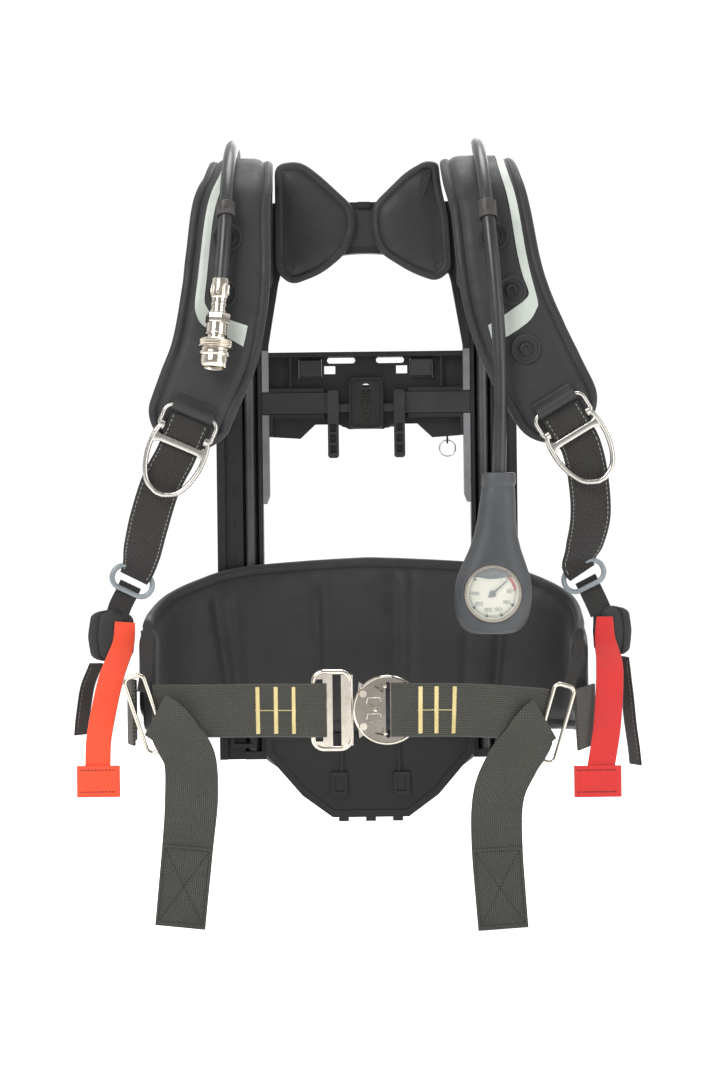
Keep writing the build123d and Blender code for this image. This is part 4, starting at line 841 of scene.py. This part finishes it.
hose("left_hose", LEFT, "carriage")
hose("right_hose", RIGHT, "carriage")
hose("left_lower_hose", [(-x, y, z) for x, y, z in LOWER], "frame")
hose("right_lower_hose", LOWER, "frame")

# ================================================================ shoulder pads
LEFT_ROWS = [(-15, 520, -121, 58, 0), (-15, 600, -121, 60, 0), (-23, 632, -121, 62, 0),
             (-52, 648, -120, 62, 0),
             (-84, 642, -120, 63, 0), (-106, 625, -122, 68, 0), (-121, 599, -128, 75, 0),
             (-135, 546, -131, 82, 2),
             (-142, 511, -134, 84, 5), (-147, 461, -143.5, 84, 12), (-149, 425, -158, 82, 19),
             (-149, 395, -170, 80, 23), (-149, 368, -179, 74, 23)]
RIGHT_ROWS = [(-15, 520, 121, 58, 0), (-15, 600, 118, 60, 0), (-23, 632, 113, 64, 0), (-52, 648, 111, 70, 0),
              (-84, 643, 111, 74, 0), (-106, 626, 114, 76, 0), (-121, 597, 121, 76, 0),
              (-135, 543, 128, 80, -2),
              (-142, 508, 135, 84, -6), (-146, 474, 146.5, 87, -12), (-148, 440, 162, 87, -20),
              (-149, 410, 178, 84, -27), (-149, 375, 197, 76, -31)]


def shoulder_pad(name, rows):
    lies = [(math.cos(math.radians(row[4])), 0, -math.sin(math.radians(row[4]))) for row in rows]
    band = Band([(x, y, z) for y, z, x, _, _ in rows], [row[3] for row in rows], lies, PAD_THICK, step=4,
                rounds=(18, 34))
    made = band_object(name + "_cover", band, PAD, "pad", "carriage")
    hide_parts(name)
    thread = Thread()
    thread.edges(band, 5.0, (4.0, -3.7), 16, 15, radius=FINE_THREAD)
    stitches = thread.make(name + "_stitches", "thread", "carriage")
    return band


def decal(name, band, outer, inner, lift=0.75, steps=110):
    """Thin tape on a pad between two lines, given as they are seen from the front.

    It runs on over the shoulder, past the lines' first points.
    """
    def even(points):
        spots = [band.drop(x, z, first=60) for x, z in points[1:]]
        (run, side), lean = spots[0], points[0][0] - points[1][0]
        spots = [(run - 88, side + 1.6 * lean), (run - 46, side + lean)] + spots
        line, _, _ = curve_through([(a, 0, b) for a, b in spots], 1.0)
        at = np.linspace(0, len(line) - 1, steps)
        return np.column_stack([np.interp(at, np.arange(len(line)), line[:, k]) for k in (0, 2)])
    rings = []
    for a, b in zip(even(outer), even(inner)):
        top, low = [], []
        for t in np.linspace(0, 1, 9):
            run, side = a + (b - a) * t
            height = pad_height(band.half_at(run), side, PAD_THICK / 2)
            top.append(band.spot(run, side, height + lift))
            low.append(band.spot(run, side, height - 0.8))
        rings.append(top + low[::-1])
    made = Build().loft(rings).make(name, "reflective", "carriage")
    return made


def hose_button(build, band, x, z):
    run, side = band.drop(x, z, first=60)
    centre, along, across, out = band.frame_at(run)
    base = band.spot(run, side, pad_height(band.half_at(run), side, PAD_THICK / 2) - 0.6)
    ring = [(0, 13.2), (1.4, 14.2), (2.6, 14.2), (3.3, 13.6), (3.4, 12.4), (2.9, 11.6), (2.0, 11.0),
            (1.8, 8.6),
            (2.2, 8.1), (2.8, 7.8), (2.9, 7.0), (2.0, 6.4), (1.9, 0.1)]
    build.turned(base, out, metres(ring), 56)
    hook = [(-4.2, 6), (-4.2, -1.5), (-2.4, -4), (1.2, -4.4), (3.2, -2.4), (3.2, 5.4)]
    line, _, _ = curve_through([tuple(base / MM + across * u + along * v + out * 3.0) for u, v in hook], 0.8)
    build.tube(line * MM, 1.25 * MM, sides=8)


left_pad = shoulder_pad("left_shoulder_pad", LEFT_ROWS)
right_pad = shoulder_pad("right_shoulder_pad", RIGHT_ROWS)
decal("left_reflective_tape", left_pad,
      [(-145.9, 631.7), (-151.8, 590.1), (-157.6, 542.7), (-161.6, 509.5), (-160.1, 493.8), (-153.1, 483.9),
       (-134.7, 474.7), (-116.3, 464.2)],
      [(-137.1, 632.7), (-144.0, 590.0), (-149.3, 542.6), (-152.6, 511.3), (-150.4, 501.4), (-145.0, 495.6),
       (-129.4, 489.8), (-112.0, 483.9)])
decal("right_reflective_tape", right_pad,
      [(130.3, 638.9), (139.4, 600.6), (153.2, 555.1), (163.4, 507.2), (162.0, 495.3), (154.7, 484.6),
       (137.9, 472.9), (121.1, 464.7)],
      [(123.9, 639.0), (133.4, 600.7), (144.8, 555.2), (155.1, 514.9), (153.6, 507.7), (147.0, 501.6),
       (133.3, 492.0), (116.5, 481.5)])
buttons = Build()
for band, spots in ((left_pad, ((-131, 568), (-136, 514.5))),
                    (right_pad, ((123.7, 566.4), (139.5, 514), (152, 459)))):
    for x, z in spots:
        hose_button(buttons, band, x, z)
buttons = buttons.make("hose_holders", "rubber", "carriage")
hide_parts("hose_buttons")


# ================================================================ flat padded pieces
def cushion(name, outline, place, u, v, thick, node, body, material="pad", threads="thread",
            rim=1.0,
            crown=0.0):
    """A flat padded piece with a bound edge, from its outline in millimetres."""
    outline = rounded(outline, 12, 7)
    centre = outline.mean(axis=0)
    marks = [(0, 0), (0.5, 1.7), (2.0, 2.9), (4.6, 3.3), (6.6, 3.1), (7.8, 2.2), (9.4, 3.0), (12.5, 0.8),
             (18, 0.95)]
    out = np.cross(unit(u), unit(v))
    levels = []
    for inwards, height in marks:
        h = height * thick / 2 if height < 1 and inwards > 10 else min(height * rim, thick / 2)
        levels.append((inset(outline, inwards) if inwards else outline, h))
    last = levels[-1][0]
    for share in (0.72, 0.45, 0.2, 0.03):
        levels.append((centre + (last - centre) * share, thick / 2 + crown * (1 - share)))
    rings = levels[::-1] + [(s, -0.92 * min(h, thick / 2)) for s, h in levels[1:]]
    placed = [np.array(place) + s[:, :1] * unit(u) + s[:, 1:] * unit(v) + h * out for s, h in rings]
    made = Build().loft(np.array(placed) * MM).make(name, material, body)
    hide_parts(node)
    thread = Thread()
    edge = inset(outline, 4.6)
    seam = np.array(place) + edge[:, :1] * unit(u) + edge[:, 1:] * unit(v) + 3.35 * rim * out
    thread.path(seam * MM, closed=True, radius=FINE_THREAD)
    thread.make(name + "_stitches", threads, body)
    return made


for name, outline in (("left_pad_wing", [(-88.5, 655), (-63, 658), (-45, 645), (-10, 612), (-8, 590),
                                         (-18, 565),
                                         (-43, 545), (-73, 534), (-88.5, 548)]),
                      ("right_pad_wing", [(75, 655), (62, 657), (42, 646), (9, 614), (7, 592), (14, 566),
                                          (47, 545),
                                          (72, 536), (87, 548), (84, 600), (77, 632)])):
    cushion(name + "_cover", outline, (0, -14.0, 0), X, Z, 11.6, name, "carriage", crown=0.4)


# ================================================================ lumbar pad
LUMBAR_ROWS = [(-213, -142, 104, 203), (-210, -100, 94, 213), (-194, -62, 90, 227), (-160, -34, 90, 243),
               (-112, -18, 90, 256), (0, -18, 90, 263), (112, -18, 90, 256), (158, -34, 90, 243),
               (190, -62, 90, 225),
               (202, -98, 92, 205), (201, -138, 98, 187)]
CHANNELS = ((-146, 6, 4.2), (-130, 4, 2.4), (-52, 7, 5.0), (-34, 3.5, 2.6), (24, 7, 5.0), (41, 3.5, 2.6),
            (96, 4, 2.4), (130, 6, 4.2))


def lumbar_pad():
    points = [(x, y, (low + high) / 2) for x, y, low, high in LUMBAR_ROWS]
    band = Band(points, [high - low for x, y, low, high in LUMBAR_ROWS], Z, 17.5, step=3, rounds=(16, 16))
    rings, fab = [], []
    share = np.linspace(-1, 1, 25)[1:-1]
    for i in range(len(band.line)):
        w, t = band.half[i], band.thick * (0.5 + 0.5 * band.scale[i])
        dip = sum(depth * math.exp(-((band.line[i, 0] - x) / wide) ** 2) for x, wide, depth in CHANNELS)
        k = min(1.0, w / 40)
        rim = [(0, 0), (0.6, 2.2), (2.4, 4.0), (5, 4.5), (8.2, 4.2), (9.6, 3.0), (11, 4.0)]
        side = [(-w + a * k, min(h, t)) for a, h in rim]
        middle = []
        for s in share:
            edge = 1 - abs(s)
            a = s * (w - 13 * k)
            calm = min(1.0, edge * 4.5)
            middle.append((a, t * (0.62 + 0.38 * min(1, edge * 5) ** 0.6) - dip * calm))
        front = side + middle + [(-a, h) for a, h in reversed(side)]
        back = [(a, -max(2.0, 0.9 * min(h + 0.3 * dip, t))) for a, h in reversed(front[1:-1])]
        shape = np.array(front + back)
        rings.append(band.line[i] + shape[:, :1] * band.across[i] + shape[:, 1:] * band.out[i])
        fab.append(np.column_stack([np.full(len(shape), band.run[i]), shape]))
    made = Build().loft(np.array(rings) * MM, np.array(fab) * MM).make("lumbar_cushion", "pad", "frame")
    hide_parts("lumbar_pad")
    thread = Thread()
    thread.edges(band, 5.2, (4.6, -4.1), 12, 12, radius=FINE_THREAD)
    thread.make("lumbar_stitches", "thread", "frame")


lumbar_pad()


# ================================================================ straps
def strap(name, node, points, widths, across, material, body, thick=2.4, step=3.0, wave=0.25, seed=1.0,
          edges=None,
          rounds=(0, 0)):
    band = Band(points, widths, across, thick, step=step, wave=wave, seed=seed, rounds=rounds)
    made = band_object(name, band, flat_profile, material, body)
    if node:
        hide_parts(node)
    stitched = None
    if edges:
        inside, colour, start, end = edges
        thread = Thread()
        thread.edges(band, inside, (thick / 2 + 0.02, -thick / 2 - 0.02), start, end, pitch=4.4)
        stitched = thread.make(name + "_stitches", colour, body)
    return band, made, stitched


def lever_frame(origin, x_dir):
    x = unit(x_dir)
    z = np.array((0, -1.0, 0))
    return np.array(origin, float), x, np.cross(z, x), z


LEVERS = {"left": lever_frame((-172.4, -163, 383), (0.917, 0, -0.397)),
          "right": lever_frame((190.2, -163, 388), (0.859, 0, 0.512))}


def local(side, x, y, z=0.0):
    o, xd, yd, zd = LEVERS[side]
    return o + xd * x + yd * y + zd * z


def shoulder_webbing(side, tail, across):
    o, xd, yd, zd = LEVERS[side]
    # over the lever's bar, down behind the loop and on to the ring
    start = [local(side, 0, 17, -4.6), local(side, 0, 6, -4.9), local(side, 0, -8, -5.2),
             local(side, 0, -24, -5.5)]
    points = [tuple(p) for p in start] + tail
    lies = [tuple(xd)] * len(start) + across
    band, made, stitched = strap(side + "_shoulder_strap", side + "_webbing", points,
                                 [38.5] * (len(points) - 3) + [37, 32, 29], lies, "shoulder", None,
                                 edges=(3.0, "thread_light", 26, 3))
    for piece in (made, stitched):
        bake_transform(piece)
    # folded layer on top, under the bar of the bail
    top = [tuple(local(side, 0, y, z)) for y, z in ((15, -3.6), (8, -1.6), (0, -1.2), (-7, -1.5),
                                                    (-10.5, -3.3))]
    strap(side + "_folded_end", None, top, 38, [tuple(xd)] * len(top), "shoulder", "carriage", thick=2.0,
          step=2,
          wave=0, edges=(3.0, "thread_light", 3, 2))
    return band


shoulder_webbing("left", [(-196, -155, 335), (-208, -146, 300), (-216, -131, 272), (-221.1, -119.3, 254.7),
                          (-225.4, -120.3, 245.9)],
                 [(0.95, 0, -0.3), (0.96, 0, -0.25), (0.94, 0, -0.34), (0.9, -0.1, -0.42),
                  (0.9, -0.1, -0.42)])
shoulder_webbing("right", [(209, -155, 340), (212, -146, 302), (207, -131, 273), (201.1, -119.3, 254.7),
                           (205.4, -120.3, 245.9)],
                 [(0.97, 0, 0.2), (1, 0, 0.05), (0.95, 0, 0.3), (0.9, 0.1, 0.42), (0.9, 0.1, 0.42)])


def lever(side):
    o, xd, yd, zd = LEVERS[side]
    wire = Build()
    loop = [(-23.6, -1.0), (-25.6, -6), (-26.7, -14), (-26.2, -28), (-22.4, -43), (-15.5, -55), (-5, -61.2),
            (0, -61.8),
            (5, -61.2), (15.5, -55), (22.4, -43), (26.2, -28), (26.7, -14), (25.6, -6), (23.6, -1.0)]
    line, _, _ = curve_through([tuple(local(side, x, y)) for x, y in loop], 1.6)
    wire.tube(line * MM, 2.5 * MM, sides=16, up=tuple(zd))
    # cross bar with a fillet at each end
    rings = []
    for x in np.linspace(-26.5, 26.5, 41):
        grow = max(0.0, (abs(x) - 17) / 9.5)
        half = 3.5 + 4.2 * grow ** 2.4
        turn = np.linspace(0, 2 * math.pi, 20, endpoint=False)
        c, s = np.cos(turn), np.sin(turn)
        rings.append([local(side, x, -12.2 - 0.9 * grow + half * np.sign(a) * abs(a) ** 0.7,
                            1.9 * np.sign(b) * abs(b) ** 0.7) for a, b in zip(c, s)])
    wire.loft(np.array(rings) * MM)
    for sign in (-1, 1):
        wire.turned(local(side, sign * 19.8, 0) * MM, xd * sign,
                    metres([(0, 1.96), (0, 3.4), (0.6, 4.0), (4.4, 4.0), (5.0, 3.4), (5.0, 1.96),
                            (0, 1.96)]), 28)
    made = wire.make(side + "_d_lever", "steel", side + "_lever")
    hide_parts(side + "_lever")
    # folded tab round the bail
    tab = Build()
    fold = [(32.5, -6.3), (32.8, -4.6), (30, -2.6), (27.2, 0.4), (25.4, 3.2), (22.6, 4.6), (19.4, 4.5),
            (17, 2.8),
            (15.9, 0), (15.6, -3), (15.8, -6.3)]
    tab.plate(np.array(fold)[::-1] * MM, local(side, -20.5, 0) * MM, yd, zd, 41 * MM, 0.5 * MM)
    made = tab.make(side + "_bail_tab", "piping", "carriage")
    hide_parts("lever_tabs")
    thread = Thread()
    thread.path([local(side, x, 30.2, -2.3) * MM for x in (-18, 18)], radius=FINE_THREAD)
    thread.make(side + "_tab_stitches", "thread", "carriage")


lever("left")
lever("right")


# ================================================================ waist belt
def bar_tack(build, band, run, low, high, width=2.0):
    """Zigzag sewn bar across a belt, standing proud of the weave."""
    steps = np.arange(low, high, 0.75)
    for k, side in enumerate(steps):
        wobble = 0.25 * math.sin(k * 2.3)
        a = band.spot(run - width + wobble, side, TACK_LIFT)
        b = band.spot(run + width + wobble, side + 0.5, TACK_LIFT)
        build.stitch(a, b, 0.00055)


left_points = [(-204, -177.6, 121), (-186, -180.2, 121.2), (-150, -189.8, 121.5), (-95, -200.5, 122),
               (-72, -205, 122),
               (-58, -210.9, 122), (-40.5, -210.9, 122)]
right_points = [(19.5, -213.8, 121.8), (50, -213.8, 121.5), (74, -208.5, 121), (110, -198, 119),
                (155, -182.5, 114.5), (163, -180.2, 113.2)]
left_belt, left_belt_piece, _ = strap("left_waist_belt", "left_belt", left_points, BELT_WIDTH, Z, "belt",
                                      "frame",
                                      thick=BELT_THICK, wave=0.2, seed=2.0)
right_belt, _, _ = strap("right_waist_belt", "right_belt", right_points, BELT_WIDTH, Z, "belt", "frame",
                         thick=BELT_THICK, wave=0.2, seed=3.0)
squashed = [left_belt_piece]
for name, band, columns in (("left_bar_tacks", left_belt, (-104.5, -87.5, -70.5)),
                            ("right_bar_tacks", right_belt, (46.5, 61, 77.5))):
    tacks = Thread()
    places = [float(np.interp(x, band.line[:, 0], band.run)) for x in columns]
    for run in places:
        bar_tack(tacks, band, run, -21.5, 21.5)
    for r in np.arange(places[0] - 2.5, places[-1] + 2.5, 1.6):
        tacks.stitch(band.spot(r, 0.4, TACK_LIFT), band.spot(r + 1.3, -0.3, TACK_LIFT), 0.0005)
    made = tacks.make(name, "tack", "frame")
    if name.startswith("left"):
        squashed.append(made)
for piece in squashed:
    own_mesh(piece)


def boxed_cross(thread, band, start, end, half, lift):
    """The stitched box and cross that closes a webbing end."""
    corners = [(start, -half), (start, half), (end, half), (end, -half)]
    lines = [(corners[i], corners[(i + 1) % 4]) for i in range(4)]
    lines += [(corners[0], corners[2]), (corners[1], corners[3])]
    for a, b in lines:
        length = math.dist(a, b)
        count = int(length / 3.2)
        for k in range(count):
            p = [a[i] + (b[i] - a[i]) * k / count for i in (0, 1)]
            q = [a[i] + (b[i] - a[i]) * (k + 0.7) / count for i in (0, 1)]
            thread.stitch(band.spot(*p, lift), band.spot(*q, lift), 0.00045)


tails = (("left", [(-201.5, -187, 118), (-190, -192, 110), (-180, -195, 96), (-169, -197, 76),
                   (-168, -197, 40),
                   (-172, -196, -4), (-180, -196, -80)], [44, 44, 46, 49, 50, 48, 47],
          [(0, 0, 1), (0.12, 0, 0.99), (0.35, 0, 0.94), (0.93, 0, 0.37), (1, 0, 0), (1, 0, -0.08),
           (1, 0, -0.12)]),
         ("right", [(163.5, -187.6, 110), (155, -192, 103), (146, -195, 89), (132, -198, 70), (119, -198, 40),
                    (117, -197, -6), (122, -197, -85)], [44, 44, 46, 48, 48, 48, 47],
          [(0, 0, -1), (0.12, 0, -0.99), (0.45, 0, -0.89), (0.93, 0, -0.37), (1, 0, 0), (1, 0, 0.04),
           (1, 0, 0.04)]))
for side, points, widths, across in tails:
    band, _, _ = strap(side + "_belt_tail", "belt_tails", points, widths, across, "belt", "frame", wave=0.5,
                       seed=4.0)
    # the hemmed end is doubled
    doubled = np.linspace(band.run[-1] - HEM, band.run[-1] - 0.5, 9)
    hem_points = [tuple(band.spot(r, 0, 1.6) / MM) for r in doubled]
    hem_lies = [tuple(band.frame_at(r)[2]) for r in doubled]
    hem, hem_piece, _ = strap(side + "_tail_hem", None, hem_points, 47, hem_lies, "belt", "frame", thick=1.6,
                              wave=0)
    thread = Thread()
    boxed_cross(thread, hem, 3, hem.run[-1] - 4, 20.5, 0.85)
    boxed_cross(thread, band, band.run[-1] - 72, band.run[-1] - 4, 20.5, -1.25)
    thread.make(side + "_tail_stitches", "thread_black", "frame")


# ================================================================ hips
LEFT_FLAP, RIGHT_FLAP = (0.96, 0.28, 0), (0.96, -0.28, 0)


def hip_flap(side, points, widths, across):
    band = Band(points, widths, across, 11.5, step=2.5, rounds=(9, 9))
    made = band_object(side + "_hip_flap", band, PAD, "pad", "frame")
    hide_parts("hip_flaps")
    thread = Thread()
    thread.edges(band, 4.8, (4.0,), 6, 6, radius=FINE_THREAD)
    thread.make(side + "_flap_stitches", "thread", "frame")


hip_flap("left", [(-246, -122, 216), (-247, -124, 190), (-246, -125, 166)], [40, 46, 40], LEFT_FLAP)
hip_flap("right", [(232, -122, 214), (233, -124, 190), (232, -125, 166)], [34, 38, 34], RIGHT_FLAP)

for side, points, widths in (("left", [(-224.3, -128, 120), (-229, -150, 120), (-222, -181, 120)],
                              [58, 62, 62]),
                             ("right", [(212.6, -128, 112), (212, -148, 112), (194, -178.6, 108)],
                              [54, 58, 58])):
    strap(side + "_hip_strap", "hip_straps", points, widths, Z, "belt", "frame", thick=3, wave=0.2)
for side, points, across in (("left", [(-262, -121, 164.6), (-272, -117, 139), (-278, -114, 96)],
                              (0.45, 0.9, 0)),
                             ("right", [(243, -121, 165.5), (248, -117, 123), (255, -114, 61)],
                              (-0.35, 0.9, 0))):
    strap(side + "_side_tail", "hip_webbing", points, 24, across, "shoulder", "frame",
          edges=(2.5, "thread_light", 4, 4))
for side, points in (("left", [(-212, -143.8, 196), (-210, -162, 172), (-213.5, -180, 140)]),
                     ("right", [(200, -145.8, 182), (196, -162, 165), (187, -180, 140)])):
    strap(side + "_keeper", "hip_webbing", points, 11, X, "shoulder", "frame", thick=2, wave=0)
for side, points, across in (
        ("left", [(-228.6, -114.3, 240.1), (-232, -114.4, 233), (-238.6, -119.6, 219.4), (-242, -122, 208)],
         (0.9, -0.1, -0.42)),
        ("right", [(208.6, -114.3, 240.1), (212, -114.4, 233), (219, -119.6, 217), (223, -122, 207)],
         (0.9, 0.1, 0.42))):
    strap(side + "_ring_strap", "hip_webbing", points, 22, across, "shoulder", "frame", wave=0)


def pull_strap(side, points, across, width, block_points, block_width, material):
    strap(side + "_pull_strap", "pull_straps", points, width, across, material, "frame", thick=1.8, wave=0.4,
          seed=5.0)
    block, made, _ = strap(side + "_pull_end", None, block_points, block_width, X, material, "frame", thick=5,
                           wave=0, step=2)
    thread = Thread()
    for lift in (2.6, -2.6):
        for run in (4.0, block.run[-1] - 5.0):
            for s in np.arange(-block_width / 2 + 3, block_width / 2 - 5, 3.4):
                thread.stitch(block.spot(run, s, lift), block.spot(run, s + 2.4, lift), 0.0005)
    thread.make(side + "_pull_stitches", "thread_black", "frame")


pull_strap("left", [(-233.6, -127.3, 204), (-235.6, -129.4, 182), (-246, -150, 150), (-256, -163, 100),
                    (-258, -165, 68)], [LEFT_FLAP, LEFT_FLAP, X, X, X], [20, 21, 24, 24, 24],
           [(-257.5, -165, 69.6), (-257.5, -165, 40)], 41, "red_left")
pull_strap("right", [(225.6, -129.2, 204), (225.6, -130.6, 182), (228, -150, 155), (224, -167, 105),
                     (217, -170, 62)], [RIGHT_FLAP, RIGHT_FLAP, X, X, X], [16, 20, 26, 26, 26],
           [(214, -170, 64.6), (214, -170, 35)], 45, "red_right")


# ================================================================ buckle plate
def buckle_beads():
    """Rolled rim and two stamped shields on the front of the round plate."""
    beads, centre = Build(), np.array((15.9, -211.3, 121.8))
    arc = np.radians(np.linspace(52, 308, 90))
    rim = centre + np.column_stack([31.2 * np.cos(arc), np.zeros(90), 31.2 * np.sin(arc)])
    beads.tube(rim * MM, 1.0 * MM, 8)
    for rise in (6.5, -6.5):
        loop = rounded([(-6, 4), (-7, -1), (0, -4.5), (7, -1), (6, 4)], 1.2)
        place = centre + (-12.4, -0.1, rise * 1.15)
        beads.tube([(place + (u, 0, v)) * MM for u, v in loop], 0.45 * MM, 6, closed=True)
    for x, z in ((6, 22), (6, -22), (-3, 0)):
        beads.turned((centre + (x - 8, 0.6, z)) * MM, (0, -1, 0), [(0, 0.0001), (0, 0.0021), (0.0008, 0.0021),
                                                                     (0.0013, 0.0016), (0.0014, 0.0001)], 20)
    made = beads.make("buckle_beads", "nickel", "frame")


buckle_beads()


# ================================================================ cylinder band
def cylinder_band():
    low, high = (np.array(c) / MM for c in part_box("cylinder_band"))
    reach, middle = (high[0] - low[0] - 2.5) / 2, (low[2] + high[2]) / 2
    ends = [(-reach, low[1] + 0.1, middle), (-reach, (low[1] + 45) / 2, middle), (-reach, 45, middle)]
    arch = [(-reach * math.cos(a), 70 + 84 * math.sin(a), middle) for a in np.linspace(0, math.pi, 15)]
    points = ends + arch + [(-x, y, z) for x, y, z in reversed(ends)]
    strap("cylinder_strap", "cylinder_band", points, 38, Z, "belt", BAND_BODY, thick=2.4, step=4, wave=0.15,
          edges=(3.0, "thread_black", 4, 4))


BODIES = frame["record"]["behaviour"]["bodies"]
BAND_BODY = next(body for body, held in BODIES.items() if "cylinder_band" in held)
cylinder_band()


# ================================================================ materials of the carried-over nodes
paint("frame", "base_tray", "lumbar_plate", "left_rail", "right_rail", "yoke", "cradle")
paint("tube", "guide_tubes")
paint("guide", "sliders")
paint("steel", "frame_screws", "yoke_screws", "key_ring", "lever_bails", "upper_clip", "lower_clip")
paint("rubber", "rubber_blocks")
paint("black_metal", "left_latch", "right_latch", "yoke_plate", "band_lever", "band_buckle")
paint("buckle", "buckle_body")
paint("nickel", "buckle_frame", "buckle_rivets", "reducer", "hose_unions", "cylinder_connector", "triglides")
paint("collar", "hand_wheel")
paint("ring", "webbing_rings")
